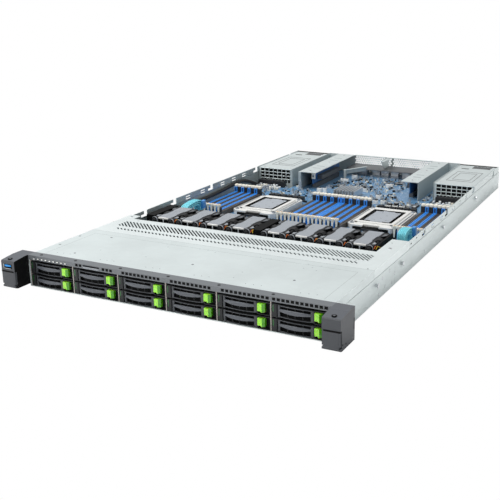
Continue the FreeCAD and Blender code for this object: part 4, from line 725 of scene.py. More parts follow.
class SERVER_OT_front_strip(bpy.types.Operator):
    """Lamps, square vent holes and the tag's mouth in black as painted shade, screws and the button's mark on
    the strip
    """
    bl_idname = "server.front_strip"
    bl_label = "Front strip"

    # the first square vent hole of each row, and how many there are
    vent_rows = ((-137.1, 2), (-94.3, 3), (-63.4, 10), (9.1, 10), (80.5, 11), (147.9, 12))
    vent_pitch = 5.9
    lamp_pitch = 6.55
    screw_places = (-201.5, -144.0, -72.0, 0.0, 72.0, 144.0)

    def execute(self, context):
        shape = Shape()
        for number in range(1, 9):
            x = -208.5 + self.lamp_pitch * number
            shape.box((x - 1.9, -13.56, 38.0), (x + 1.9, -13.4, 40.7), "black", 0.05)
            shape.box((x - 1.5, -13.7, 38.7), (x + 1.2, STRIP_FRONT, 40.3), "white", 0.05)
        # each vent hole is a black box of painted shade
        for first, count in self.vent_rows:
            for number in range(count):
                x = first + self.vent_pitch * number
                shape.box((x - 2.1, -13.53, 38.9), (x + 2.1, -12.5, 42.5), "black")
        # the tag's mouth is a black box of painted shade
        shape.boxes((
            ((-126.6, -13.62, 40.5), (-100.6, -13.3, 42.3), "black"),
            ((-218.9, -13.2, 1.5), (-216.2, -12.6, 37.0), "cover zinc", 0.2),
            ((216.2, -13.2, 1.5), (218.9, -12.6, 37.0), "cover zinc", 0.2),
            ((-128.0, -13.9, 39.2), (-100.0, -13.4, 40.2), "fan grey", 0.2),
        ))
        for x in self.screw_places:
            shape.rod((x, -6.75, 43.45), (x, -6.75, 43.56), 1.4, "black", 12)
        shape.finish("strip_lamps", "chassis", "button_plastic")
        self.button_mark()
        return {"FINISHED"}

    def button_mark(self):
        """A small pale dot with a dark middle, on the power button."""
        low, high = place_of("power_button")
        middle = (low + high) / 2
        shape = Shape()
        face = Vector((middle.x, low.y, middle.z))
        skin = face - Vector((0, 0.06, 0))
        shape.rod(face, skin, 1.3, "white")
        shape.rod(skin, skin - Vector((0, 0.04, 0)), 0.5, "black", 10)
        shape.finish("button_mark", "power_button", "button_plastic")


class SERVER_OT_ear_details(bpy.types.Operator):
    """Holes and grooves of the rack ears, the flaps' raised fronts and the port's inside"""
    bl_idname = "server.ear_details"
    bl_label = "Ear details"

    # grooves in the ear's outer side, black with a shaded grey side as painted shade: front, rear, foot, head
    # and finish
    grooves = (
        (-2.6, -0.9, 17.0, 30.0, "black"),
        (-38.4, -37.6, 9.0, 26.0, "black"),
        (-37.6, -37.2, 10.0, 26.0, "fan middle"),
        (-39.9, -37.2, 25.8, 27.6, "black"),
    )

    def execute(self, context):
        shape = Shape()
        for sign in SIDES.values():
            outer = 241.3 * sign
            skin = 241.45 * sign
            # the small holes are black discs of painted shade
            for y, z, radius in ((-34.0, 10.3, 1.2), (-25.0, 8.8, 0.9)):
                shape.rod((outer, y, z), (skin, y, z), radius, "black", 12)
            low, high = sorted((outer, skin))
            for front, rear, foot, head, finish in self.grooves:
                shape.box((low, front, foot), (high, rear, head), finish)
            middle = 231.0 * sign
            shape.rod((middle, -33.5, 41.4), (middle, -33.5, 42.62), 3.1, "black", 20)
            shape.rod((middle, -33.5, 42.5), (middle, -33.5, 42.7), 1.4, "fan middle", 12)
            shape.box((middle - 10.0, -40.2, 25.7), (middle + 10.0, -39.3, 27.6), "black")
        shape.finish("ear_marks", "chassis", "black_plastic")
        for side, sign in SIDES.items():
            flap = Shape()
            x = 230.15 * sign
            flap.box((x - 8.8, -40.05, 6.5), (x + 8.8, -39.75, 25.6), "ear plastic", 0.25, 2)
            flap.finish("flap_marks_" + side, "ear_flap_" + side, "ear_plastic")
        port = Shape()
        low, high = -237.5, -224.3
        port.boxes((
            ((low + 2.0, -39.9, 33.2), (high - 0.6, -39.0, 35.9), "port blue", 0.2),
            ((low + 0.2, -40.0, 30.6), (low + 1.3, -39.2, 36.2), "white", 0.1),
            ((low + 0.6, -40.0, 30.5), (high - 0.8, -39.2, 31.4), "port shell", 0.1),
        ))
        port.finish("front_port_contacts", "chassis", "port_metal")
        return {"FINISHED"}


class SERVER_OT_cover_details(bpy.types.Operator):
    """Small holes, shallow dimples, embossed lines and screws of the covers"""
    bl_idname = "server.cover_details"
    bl_label = "Cover details"

    dimples = ((-212, 41), (-214, 85), (-167, 19), (-168, 98), (145, 46), (2, 45))
    specks = (
        (66, 108), (73, 97), (82, 107), (74, 46), (136, 91), (145, 98), (154, 90),
        (153, 108), (135, 108), (74, 24), (-144, 44), (-71, 46), (-69, 94), (-12, 105),
        (2, 100), (-25, 105), (-64, 91), (-103, 16), (-78, 105),
    )
    vent_dimples = ((209.0, 123.0), (183.0, 149.0), (-186.0, 186.0), (200.0, 239.0))
    # an embossed frame on three sides, drawn as thin dark strips of painted shade, and the joint between the
    # two covers
    embossing = (
        (-203.0, 105.6, 203.0, 106.0), (202.6, 3.0, 203.0, 106.0), (-203.0, 3.0, -202.6, 106.0),
    )
    joint = ((-219.0, 120.2, 42.9), (219.0, 120.8, COVER_TOP + 0.01))

    def execute(self, context):
        # the small holes are grey discs of painted shade
        shape = Shape()
        for column in range(6):
            for number in range(3):
                x = -190.0 + 72.0 * column + 10.0 * number
                shape.post((x, 11.0 + number, COVER_TOP), 0.03, size("dot_radius"), "fan middle", 8)
        # the dimples are darker discs of painted shade, and the specks are darker zinc
        for places, rise, radius, finish, sides in (
            (self.dimples, 0.05, 1.7, "fan middle", 12),
            (self.specks, 0.04, 1.0, "inner zinc", 8),
            (self.vent_dimples, 0.05, 1.1, "fan middle", 10),
        ):
            for x, y in places:
                shape.post((x, y, COVER_TOP), rise, radius, finish, sides)
        for left, front, right, rear in self.embossing:
            shape.box((left, front, COVER_TOP), (right, rear, COVER_TOP + 0.05), "emboss line")
        shape.box(*self.joint, "emboss line")
        shape.screw((206.0, 214.0, COVER_TOP), 3.0, "silver")
        shape.screw((-210.0, 202.0, COVER_TOP), 2.4, "silver")
        shape.finish("cover_marks", "chassis", "zinc_steel")
        return {"FINISHED"}


class SERVER_OT_wall_details(bpy.types.Operator):
    """Rivets, the joint line and the small slots of the side walls"""
    bl_idname = "server.wall_details"
    bl_label = "Wall details"

    rivets = (
        (137.0, 6.0), (150.0, 24.0), (160.0, 10.0), (176.0, 26.0), (186.0, 7.0), (197.0, 16.0),
        (330.0, 8.0), (520.0, 8.0), (700.0, 8.0),
    )
    slots = ((208.0, 36.0), (218.0, 39.0), (268.0, 37.0), (292.0, 39.0))

    def execute(self, context):
        shape = Shape()
        radius = size("rivet_radius")
        for sign in SIDES.values():
            face = 219.0 * sign
            for y, z in self.rivets:
                shape.rod((face, y, z), (face + 0.05 * sign, y, z), radius * 1.25, "inner zinc", 12)
                shape.rod((face, y, z), (face + 0.35 * sign, y, z), radius, "silver", 12, radius * 0.7)
            low, high = sorted((face, face + 0.06 * sign))
            shape.box((low, 196.8, 1.0), (high, 197.2, 31.0), "inner zinc")
            inner_face = 217.9 * sign
            low, high = sorted((inner_face, inner_face + 0.06 * sign))
            # the slots are black, as painted shade in them
            for y, z in self.slots:
                shape.box((low, y - 2.4, z - 0.9), (high, y + 2.4, z + 0.9), "black")
        shape.finish("wall_rivets", "chassis", "zinc_steel")
        return {"FINISHED"}


# Fans

class SERVER_OT_fan_tops(bpy.types.Operator):
    """Grey top plates, shoulders, rubber mounts, silver clips and leads of the eight fans"""
    bl_idname = "server.fan_tops"
    bl_label = "Fan tops"

    # outlines from the fan's middle: half of the top plate, and a shoulder before and behind its waist
    half_plate = ((10.6, 224.4), (11.4, 240.0), (9.4, 247.0), (9.4, 264.0), (11.4, 270.0), (11.4, 289.0))
    shoulders = (
        (((10.0, 226.0), (18.0, 228.0), (19.6, 236.0), (15.0, 241.0), (10.0, 243.0)), "fan grey"),
        (((10.0, 268.0), (14.5, 270.0), (19.6, 277.0), (19.6, 286.0), (10.0, 290.0)), "fan middle"),
    )
    plate_top = 41.0
    shoulder_top = 40.2
    thickness = (0, 0, 0.8)

    def execute(self, context):
        shape = Shape()
        for x in FAN_PLACES:
            single = Shape(shape.finishes)
            for side in SIDES.values():
                self.fan_side(single, side)
            self.fan_middle(single)
            single.move((x, 0, 0))
            shape.take(single)
        shape.finish("fan_mounts", "chassis", "fan_plastic", smooth=True)
        self.leads()
        return {"FINISHED"}

    def fan_side(self, shape, side):
        """Half a fan: a rubber knob in front, two shoulders, the rear one in a darker grey as painted shade,
        a rounded hollow between them drawn as dark blobs of painted shade, and a rear pin.
        """
        radius = size("mount_radius")
        knob = side * 15.0
        for start, end, z, width, finish, sides, far_width in (
            (218.5, 220.0, 37.4, radius, "black", 16, None),
            (217.6, 218.5, 37.4, radius * 0.4, "chip", 10, radius * 0.8),
            (220.0, 222.0, 37.2, radius * 1.16, "fan grey", 16, None),
            (222.0, 228.0, 37.4, radius, "rubber", 16, radius * 0.8),
        ):
            shape.rod((knob, start, z), (knob, end, z), width, finish, sides, far_width)
        for outline, finish in self.shoulders:
            corners = [(side * across, y, self.shoulder_top) for across, y in outline]
            shape.plate(corners, self.thickness, finish)
        shape.ball((side * 15.6, 255.0, 36.5), 6.4, "fan dark", (0.72, 1.6, 0.6))
        shape.ball((side * 15.9, 263.0, 36.0), 5.0, "black", (0.7, 0.7, 0.9))
        shape.rod((side * 16.5, 286.0, 38.0), (side * 16.5, 293.0, 38.0), 2.6, "rubber", 10)

    def fan_middle(self, shape):
        """The clip and struts in front, and the waisted top plate with its fine lines."""
        shape.boxes((
            ((-9.0, 221.6, 39.4), (9.0, 224.4, 41.9), "socket steel", 0.4),
            ((-0.9, 221.4, 4.0), (0.9, 223.4, 39.4), "silver", 0.3),
            ((-21.2, 221.8, 3.0), (-20.4, 223.4, 36.0), "silver", 0.2),
        ))
        right = [(across, y, self.plate_top) for across, y in self.half_plate]
        left = [(-across, y, self.plate_top) for across, y in self.half_plate]
        shape.plate(left[:1] + right + left[:0:-1], self.thickness, "fan grey")
        for line in range(-4, 5):
            x = line * 2.2
            shape.box((x - 0.2, 226.0, 41.75), (x + 0.2, 287.5, 41.86), "cap grey")

    def leads(self):
        """Short coloured leads that rise and bend in the gaps between the fans."""
        leads = Shape()
        radius = size("lead_width") / 2
        dice = random.Random(7)
        for x in FAN_PLACES:
            for number, finish in enumerate(("orange", "yellow")):
                start = Vector((x + 20.4 + number * 3.2, 223.0, 36.5))
                bend = start + Vector((dice.uniform(0, 3), 1.5, dice.uniform(3.6, 4.8)))
                end = start + Vector((dice.uniform(1, 4), 8.0, 1.0))
                for first, last in ((start, bend), (bend, end)):
                    leads.rod(first, last, radius, finish, 6)
                    leads.ball(last, radius, finish)
        leads.finish("fan_leads", "chassis", "cable_jacket")


# Memory, sockets and board parts

class SERVER_OT_memory_latches(bpy.types.Operator):
    """Cream latches with coloured end towers, at both ends of every memory slot"""
    bl_idname = "server.memory_latches"
    bl_label = "Memory latches"

    front = 366.5
    rear = 518.5

    def execute(self, context):
        shape = Shape()
        for x, finish in memory_places():
            single = Shape(shape.finishes)
            self.latch_pair(single, "chip" if finish == "slot black" else finish)
            single.move((x, 0, 0))
            shape.take(single)
        shape.finish("memory_latches", "chassis", "latch_plastic", ["dimm_latches"])
        return {"FINISHED"}

    def latch_pair(self, shape, tower):
        """In front a wide head on a tapered leg, at the rear a rounded head, each on a coloured end tower."""
        front, rear = self.front, self.rear
        shape.box((-3.1, front + 1.2, BOARD_TOP), (3.1, front + 6.8, 24.0), tower, 0.3)
        leg = ((-0.9, 12.0), (0.9, 12.0), (2.1, 27.5), (-2.1, 27.5))
        shape.plate([(across, front, z) for across, z in leg], (0, 1.4, 0), "latch cream")
        shape.boxes((
            ((-2.9, front - 0.6, 26.8), (2.9, front + 4.6, 30.6), "latch cream", 0.5),
            ((-1.4, front + 0.6, 30.5), (1.4, front + 3.0, 30.75), "latch dot"),
            ((-3.2, rear - 6.6, BOARD_TOP), (3.2, rear - 0.6, 26.4), tower, 0.3),
            ((-1.0, rear - 6.9, 18.0), (1.0, rear - 6.5, 25.0), "chip"),
            ((-3.25, rear - 6.2, 26.2), (3.25, rear + 1.0, 31.0), "latch cream", 1.3, 2),
        ))


class SERVER_OT_socket_details(bpy.types.Operator):
    """Raised lips, screws, springs, black base and cap marks of the two processor sockets"""
    bl_idname = "server.socket_details"
    bl_label = "Socket details"

    frame_top = 16.0
    lip_foot = frame_top - 0.5
    lip_top = frame_top + 2.4
    gap_foot = BOARD_TOP + 0.2
    # small marks on the cap, from the socket's middle
    marks = ((-18, -24), (-6, -26), (12, -22), (18, -4), (-19, 2), (4, 6), (-9, 22), (16, 25), (0, -12))

    def execute(self, context):
        shape = Shape()
        for x, y in SOCKET_PLACES:
            single = Shape(shape.finishes)
            self.hardware(single)
            self.cap(single)
            self.lips(single)
            single.move((x, y, 0))
            shape.take(single)
        shape.finish("socket_hardware", "chassis", "screw_steel", smooth=True)
        return {"FINISHED"}

    def hardware(self, shape):
        """The base's black front, four screws, two spring rods and black strips of painted shade in the gap
        round the cap.
        """
        top = self.frame_top
        shape.box((-30.0, -60.5, BOARD_TOP), (30.0, -52.2, 13.5), "black", 0.4)
        shape.box((-14.5, -63.0, BOARD_TOP), (14.5, -59.0, 12.0), "chip", 0.3)
        for across in (-1, 1):
            for y in (-49.0, 49.0):
                shape.post((across * 35.5, y, top), 2.2, 3.6, "cap grey", 16, 3.0)
                shape.post((across * 35.5, y, top + 2.2), 0.1, 1.9, "black", 6)
            x = across * 39.0
            shape.rod((x, -44.0, top + 0.8), (x, 40.0, top + 0.8), 0.9, "silver", 8)
        shape.boxes((
            ((-28.3, -38.6, self.gap_foot), (-26.4, 38.6, 14.6), "black"),
            ((26.4, -38.6, self.gap_foot), (28.3, 38.6, 14.6), "black"),
            ((-28.0, 36.0, self.gap_foot), (28.0, 38.4, 14.6), "black"),
        ))

    def cap(self, shape):
        """Pads, marks and two grips on the grey cap."""
        for x, y in ((-14.0, -20.0), (14.0, 20.0), (-14.0, 20.0), (14.0, -20.0)):
            shape.box((x - 4, y - 1, 17.5), (x + 4, y + 1, 17.9), "cap grey", 0.2)
        for x, y in self.marks:
            shape.box((x, y, 17.55), (x + 1.6, y + 1.2, 17.75), "chip")
        for y in (-33.5, 31.2):
            shape.box((-10.0, y, 14.4), (10.0, y + 2.3, 18.1), "cap grey", 0.4)

    def lips(self, shape):
        """A raised lip on the load frame's four sides, painted black inside as shade, in which the cap looks
        sunken.
        """
        foot, head = self.lip_foot, self.lip_top
        for left, right in ((-33.5, -28.4), (27.6, 33.5)):
            shape.box((left, -43.5, foot), (right, 43.5, head), "socket steel", 0.3)
        for front, rear in ((-43.5, -37.4), (38.6, 43.5)):
            shape.box((-33.0, front, foot), (33.0, rear, head - 0.1), "socket steel", 0.3)
        shape.box((-28.4, -37.0, foot), (-28.1, 38.6, head - 0.5), "black")
        shape.box((-28.1, 38.2, foot), (27.6, 38.6, head - 0.5), "black")


class SERVER_OT_small_parts(bpy.types.Operator):
    """Capacitors, chips, coils, pin headers and white connectors scattered over the main board"""
    bl_idname = "server.small_parts"
    bl_label = "Small board parts"

    # free zones of the board: left, right, front and rear
    zones = (
        (-145, -44, 521, 526), (-150, -64, 540, 606), (-60, 140, 545, 575), (20, 80, 560, 640),
        (-80, 80, 640, 720), (70, 140, 521, 606), (-190, -150, 525, 606), (150, 200, 525, 606),
        (-60, 80, 720, 764), (-150, 150, 312, 345), (124, 138, 615, 780), (-138, -124, 615, 780),
    )
    # the area that one part takes, in square millimetres
    room_of_one = 62
    # plugs: left, front, width, depth and height
    plugs = (
        (86, 528, 9, 7, 9), (98, 530, 9, 7, 9), (110, 532, 9, 7, 9), (-40, 528, 9, 6, 9),
        (-28, 529, 9, 6, 9), (-76, 600, 8, 7, 9), (-66, 603, 7, 7, 9), (44, 596, 9, 8, 8),
        (-70, 700, 16, 6, 8), (30, 690, 14, 6, 8), (-60, 736, 10, 7, 9), (52, 560, 8, 6, 7),
        (64, 566, 8, 6, 7), (-4, 640, 12, 5, 7),
    )
    tall_cans = ((-38.0, 562.0), (-26.0, 568.0), (88.0, 548.0), (98.0, 554.0))
    # large square chips: left, front and width
    large_chips = ((-30, 650, 24), (34, 724, 18), (-64, 660, 16), (110, 560, 22))
    block_finishes = ("white", "latch cream", "port shell", "cap grey")

    def execute(self, context):
        dice = random.Random(11)
        chips, cans, pale = Shape(), Shape(), Shape()
        for left, right, front, rear in self.zones:
            count = int((right - left) * (rear - front) / self.room_of_one) + 3
            for part in range(count):
                self.scatter(dice, (left, right, front, rear), chips, cans, pale)
        for x, y, wide, deep, tall in self.plugs:
            top = BOARD_TOP + tall
            pale.box((x, y, BOARD_TOP), (x + wide, y + deep, top), "white", 0.4)
            # each plug's mouth is a black inset of painted shade
            chips.box((x + 1, y + 1, top - 0.3), (x + wide - 1, y + deep - 1, top + 0.1), "chip")
        self.blocks(dice, pale)
        for x, y in self.tall_cans:
            chips.post((x, y, BOARD_TOP), 9.0, 4.6, "chip")
            cans.post((x, y, BOARD_TOP + 9.0), 0.2, 3.9, "port shell")
        top = BOARD_TOP + 2.4
        for x, y, wide in self.large_chips:
            chips.box((x, y, BOARD_TOP), (x + wide, y + wide, top), "chip", 0.3)
            chips.box((x + 2, y + 2, top), (x + wide - 2, y + wide - 2, top + 0.1), "silver")
        chips.finish("board_chips", "chassis", "slot_plastic")
        cans.finish("board_cans", "chassis", "screw_steel")
        pale.finish("board_connectors", "chassis", "button_plastic")
        return {"FINISHED"}

    def scatter(self, dice, zone, chips, cans, pale):
        """One small part of a kind and size left to chance, somewhere in a zone."""
        left, right, front, rear = zone
        x = dice.uniform(left, right - 8)
        y = dice.uniform(front, rear - 4)
        kind = dice.random()
        long_side = dice.uniform(1.5, 5.5)
        short_side = dice.uniform(1.2, 3.6)
        height = dice.uniform(0.8, 3.4)
        low = (x, y, BOARD_TOP)
        high = (x + long_side, y + short_side, BOARD_TOP + height)
        if kind < 0.36:
            chips.box(low, high, "chip")
        elif kind < 0.62:
            cans.box(low, high, "silver")
        elif kind < 0.72:
            cans.box(low, (x + 1.6, y + 3.0, BOARD_TOP + 0.9), "gold")
        elif kind < 0.86:
            pale.box(low, high, "latch cream")
        else:
            tall = dice.uniform(3.0, 7.5)
            cans.post((x + 3, y + 3, BOARD_TOP), tall, 2.2, "silver", 10)
            chips.post((x + 3, y + 3, BOARD_TOP + tall), 0.1, 1.5, "chip", 8)

    def blocks(self, dice, pale):
        """Three rows of pale blocks in front of each supply."""
        for row in range(3):
            for number in range(9):
                for start in (-204.0, 150.0):
                    x = start + 5.6 * number + dice.uniform(-0.5, 0.5)
                    y = 582.0 + 9.0 * row
                    top = BOARD_TOP + dice.uniform(4.0, 8.0)
                    finish = dice.choice(self.block_finishes)
                    pale.box((x, y, BOARD_TOP), (x + 3.8, y + 3.6, top), finish, 0.3)


# Rear half

class SERVER_OT_rear_details(bpy.types.Operator):
    """Six-sided mesh on the rear wall, brackets, riser plate details and screws"""
    bl_idname = "server.rear_details"
    bl_label = "Rear details"

    # the fin's top, a bracket's foot, two wall flanges, a plug on the left riser and the bracket beside it
    blocks = (
        ((-13.0, 772.0, 41.8), (-3.0, 801.0, 43.0), "cover zinc", 0.3),
        ((-71.0, 719.0, BOARD_TOP), (-66.0, 722.0, 30.0), "inner zinc", 0.5),
        ((-86.0, 810.0, 42.3), (-14.0, 814.9, 43.2), "cover zinc", 0.2),
        ((-6.0, 810.0, 42.3), (85.0, 814.9, 43.2), "cover zinc", 0.2),
        ((-100.4, 628.2, 27.0), (-92.6, 629.4, 39.0), "latch cream", 0.5),
        ((-99.0, 627.9, 29.0), (-94.4, 628.4, 36.0), "silver", 0.3),
        ((-98.4, 627.7, 31.0), (-95.6, 628.0, 34.0), "chip"),
        ((-121.0, 611.5, 24.0), (-115.6, 615.0, 42.6), "inner zinc", 0.6),
    )

    def execute(self, context):
        self.mesh_panel()
        shape = Shape()
        for left, right in ((-121.0, -86.0), (85.0, 118.0)):
            self.riser_top(shape, left, right)
        web = ((792.0, 24.0), (813.0, 24.0), (813.0, 43.0), (772.0, 43.0), (774.0, 36.0), (782.0, 28.0))
        shape.plate([(-10.0, y, z) for y, z in web], (1.4, 0, 0), "cover zinc")
        # the bracket's upright is painted in the darker zinc as shade and its folded top in the lighter zinc
        # as lit
        start, end, step = Vector((-70.0, 722.0, 21.0)), Vector((-42.0, 768.0, 21.0)), Vector((0, 0, 8.0))
        shape.plate([start, end, end + step, start + step], (1.4, -0.8, 0), "inner zinc")
        fold = Vector((3.5, -2.0, 8.0))
        shape.plate([start + step, end + step, end + fold, start + fold], (0, 0, 1.0), "cover zinc")
        shape.boxes(self.blocks)
        shape.post((-117.5, 612.5, BOARD_TOP), 17.0, 3.2, "silver")
        shape.post((-117.5, 612.5, BOARD_TOP), 2.5, 5.5, "cap grey")
        shape.finish("rear_brackets", "chassis", "zinc_steel")
        return {"FINISHED"}

    def riser_top(self, shape, left, right):
        """Screws, two raised seams and four long slots on a riser's top plate, the slots drawn in the darker
        zinc as painted shade.
        """
        for y in (630.0, 720.0, 800.0):
            shape.screw(((left + right) / 2, y, 42.4), 2.6, "silver", 0.7)
        for y in (640.0, 700.0):
            shape.box((left + 3, y, 42.35), (right - 3, y + 1.0, 42.7), "cover zinc")
        for y in (656.0, 676.0, 742.0, 764.0):
            shape.box((left + 9, y, 42.38), (right - 9, y + 5.0, 42.45), "inner zinc")

    def mesh_panel(self):
        """The rear mesh as a sheet painted dark as shade, with pale six-sided holes and a row of round holes
        below it that glow as painted daylight.
        """
        shape = Shape()
        pitch = size("mesh_pitch")
        low, high = 24.9, 41.4
        skin, face, back = 813.56, 813.76, 813.96
        step = pitch * 0.87
        for left, right in ((-84.0, 0.0), (0.0, 84.0)):
            columns = int((right - left) / pitch)
            shape.box((left, face, low - 1.0), (right, back, high + 0.6), "mesh zinc")
            for number in range(columns):
                x = left + pitch * (number + 0.5)
                shape.rod((x, 813.5, 21.4), (x, 813.9, 21.4), 1.3, "outside light", 8)
            for row in range(int((high - low) / step)):
                z = low + step * (row + 0.5)
                for column in range(columns):
                    x = left + pitch * (column + 0.5 + 0.5 * (row % 2))
                    if x + pitch / 2 < right:
                        shape.rod((x, skin, z), (x, face, z), pitch * 0.4, "outside light", 6)
        shape.finish("rear_mesh", "chassis", "black_plastic")


class SERVER_OT_supply_details(bpy.types.Operator):
    """Inner grille, embossed top, rear fan guard and inlet pins of the two power supplies"""
    bl_idname = "server.supply_details"
    bl_label = "Supply details"

    width = 73.5
    top = 41.28
    top_line = 41.45

    def execute(self, context):
        # the supply's left side, and the middles of its fan and its inlet from there
        for side, left, fan, inlet in (("left", -216.5, 20.0, 55.5), ("right", 143.0, 53.5, 18.0)):
            shape = Shape()
            self.grille(shape)
            self.top_side(shape)
            self.fan_guard(shape, Vector((fan, 814.4, 21.3)))
            for number, z in ((-1, 18.0), (0, 24.0), (1, 18.0)):
                x = inlet + number * 7.0
                shape.box((x - 0.9, 801.0, z - 2.6), (x + 0.9, 811.0, z + 2.6), "silver", 0.2)
            shape.move((left, 0, 0))
            shape.finish("supply_trim_" + side, "psu_" + side, "zinc_steel")
        return {"FINISHED"}

    def grille(self, shape):
        """Upright and level bars before a black plate of painted shade, at the supply's inner end."""
        width = self.width
        shape.box((3.5, 629.5, 20.2), (width - 3.5, 629.9, 40.6), "black")
        for step in range(8):
            x = 3.2 + (width - 7.8) * step / 7
            shape.box((x, 628.9, 20.0), (x + 1.3, 629.9, 41.0), "cover zinc", 0.2)
        for z in (19.6, 26.2, 32.8, 39.4):
            shape.box((3, 628.9, z), (width - 3, 629.9, z + 1.3), "cover zinc", 0.2)

    def top_side(self, shape):
        """Two nested embossed outlines drawn as dark lines of painted shade, a dark patch, the catch, seams,
        the black rear edge and screws.
        """
        width, top, line = self.width, self.top, self.top_line
        for inset in (0.0, 8.0):
            left, right = 13.0 + inset, width - 13.0 - inset
            front, rear = 662.0 + inset * 1.5, 744.0 - inset * 1.5
            for y in (front, rear):
                shape.box((left, y - 0.8, top), (right, y + 0.8, line), "shelf steel")
            for x in (left, right):
                shape.box((x - 0.4, front, top), (x + 0.4, rear, line), "shelf steel")
        shape.box((30.0, 782.0, top), (width - 8.0, 803.0, line), "shelf steel")
        shape.box((12.0, 772.0, top), (26.0, 776.0, 41.6), "black", 0.1)
        for x in (1.6, width - 2.4):
            shape.box((x, 632.0, top), (x + 0.8, 812.0, 41.36), "inner zinc")
        shape.box((0, 806.0, top), (width, 814.8, 41.5), "black")
        for y in (640.0, 790.0):
            for x in (8, width - 8):
                shape.screw((x, y, 41.3), 1.8, "silver", 0.4)

    def fan_guard(self, shape, centre):
        """Four wire rings and four wires across them."""
        steps = 28
        for radius in (5.0, 9.0, 13.0, 16.5):
            ring = [centre + radius * Vector((math.cos(turn), 0, math.sin(turn)))
                    for turn in (math.tau * step / steps for step in range(steps + 1))]
            for first, last in zip(ring, ring[1:]):
                shape.rod(first, last, 0.45, "silver", 5)
        middle = centre - Vector((0, 0.6, 0))
        for turn in range(4):
            angle = math.pi * turn / 4
            reach = Vector((math.cos(angle), 0, math.sin(angle))) * 17.2
            shape.rod(middle - reach, middle + reach, 0.45, "silver", 5)


# Cables

class SERVER_OT_cables(bpy.types.Operator):
    """The wire harness along the left wall and the two flat cables behind the fans"""
    bl_idname = "server.cables"
    bl_label = "Cables"

    # control points of the harness, and of each flat cable's arch: its place across, then along and height
    harness_route = (
        (-204.0, 299.5, 33.0), (-206.0, 316.0, 30.0), (-214.5, 345.0, 22.0), (-214.5, 480.0, 23.5),
        (-214.5, 545.0, 29.5), (-209.0, 575.0, 24.0), (-203.0, 600.0, 11.5),
    )
    arches = (
        (-182.0, ((302.0, 14.0), (302.0, 30.0), (306.0, 38.6), (332.0, 41.4),
                  (350.0, 40.4), (352.0, 30.0), (352.0, 14.0))),
        (190.0, ((308.0, 14.0), (308.0, 32.0), (312.0, 38.4), (326.0, 39.6),
                 (340.0, 38.4), (344.0, 32.0), (344.0, 14.0))),
    )
    wires = 5
    layers = 3
    layer_gap = 3.0

    def execute(self, context):
        harness = self.route("harness_sleeve", self.harness_route, size("harness_width"))
        harness.data.materials.append(FINISHES["harness"])
        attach(harness, "chassis")
        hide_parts("wire_harness")
        size("harness_width") / METRE
        cables = Shape()
        for x, corners in self.arches:
            self.flat_cable(cables, x, corners)
        cables.finish("flat_cable_ribbons", "chassis", "flat_jacket", ["flat_cables"], smooth=True)
        return {"FINISHED"}

    def route(self, name, points, width):
        """A curve of one NURBS spline with the route's control points, round in section if it has a width."""
        curve = bpy.data.curves.new(name, "CURVE")
        curve.dimensions = "3D"
        curve.bevel_depth = width / 2 / METRE
        curve.bevel_resolution = 4
        curve.resolution_u = 8
        curve.use_fill_caps = True
        spline = curve.splines.new("NURBS")
        spline.points.add(len(points) - 1)
        for point, place in zip(spline.points, points):
            point.co = (*(Vector(place) / METRE), 1.0)
        spline.order_u = 3
        spline.use_endpoint_u = True
        return new_object(name, curve)

    def flat_cable(self, shape, x, corners):
        """Layers of ribbed ribbon one inside the other, each a row of round wires, and blue plugs."""
        pitch = size("flat_cable_width") / self.wires
        middle, raised = 320, 25
        for layer in range(self.layers):
            inset = self.layer_gap * layer
            points = [(x, y + (inset if y < middle else -inset), z - (inset if z > raised else 0))
                      for y, z in corners]
            guide = self.route("ribbon_guide", points, 0.0)
            line = bpy.data.meshes.new_from_object(guide)
            centres = [vert.co * METRE for vert in line.vertices]
            bpy.data.meshes.remove(line)
            bpy.data.objects.remove(guide)
            for number in range(self.wires):
                shift = Vector((pitch * (number + 0.5 - self.wires / 2), 0.0, 0.0))
                self.wire(shape, [centre + shift for centre in centres], pitch * 0.44)
        front = corners[0][0]
        rear, foot = corners[-1]
        for y in (front, rear):
            shape.box((x - 7.0, y - 3.0, BOARD_TOP), (x + 7.0, y + 3.0, foot + 1.0), "connector blue", 0.5)
        shape.box((x + 5.0, rear - 5.0, 26.0), (x + 10.6, rear + 4.0, 39.5), "connector blue", 0.4)

    def wire(self, shape, centres, radius):
        """One round wire: a ring drawn along the points of its route, made apart and then joined."""
        turns = [(after - before).normalized() for before, after in zip(centres, centres[1:])]
        turns.append(turns[-1])
        single = Shape(shape.finishes)
        ring = bmesh.ops.create_circle(single.mesh, segments=8, radius=radius)["verts"]
        along = turns[0].to_track_quat("Z", "X").to_matrix()
        bmesh.ops.rotate(single.mesh, verts=ring, cent=(0, 0, 0), matrix=along)
        bmesh.ops.translate(single.mesh, vec=centres[0], verts=ring)
        edges = single.mesh.edges[:]
        for step in range(1, len(centres)):
            made = bmesh.ops.extrude_edge_only(single.mesh, edges=edges)["geom"]
            ring = [item for item in made if isinstance(item, bmesh.types.BMVert)]
            edges = [item for item in made if isinstance(item, bmesh.types.BMEdge)
                     and all(vert in ring for vert in item.verts)]
            bmesh.ops.translate(single.mesh, vec=centres[step] - centres[step - 1], verts=ring)
            turn = turns[step - 1].rotation_difference(turns[step]).to_matrix()
            bmesh.ops.rotate(single.mesh, verts=ring, cent=centres[step], matrix=turn)
        single.dress(single.mesh.verts, "cable cyan")
        shape.take(single)


# Stage

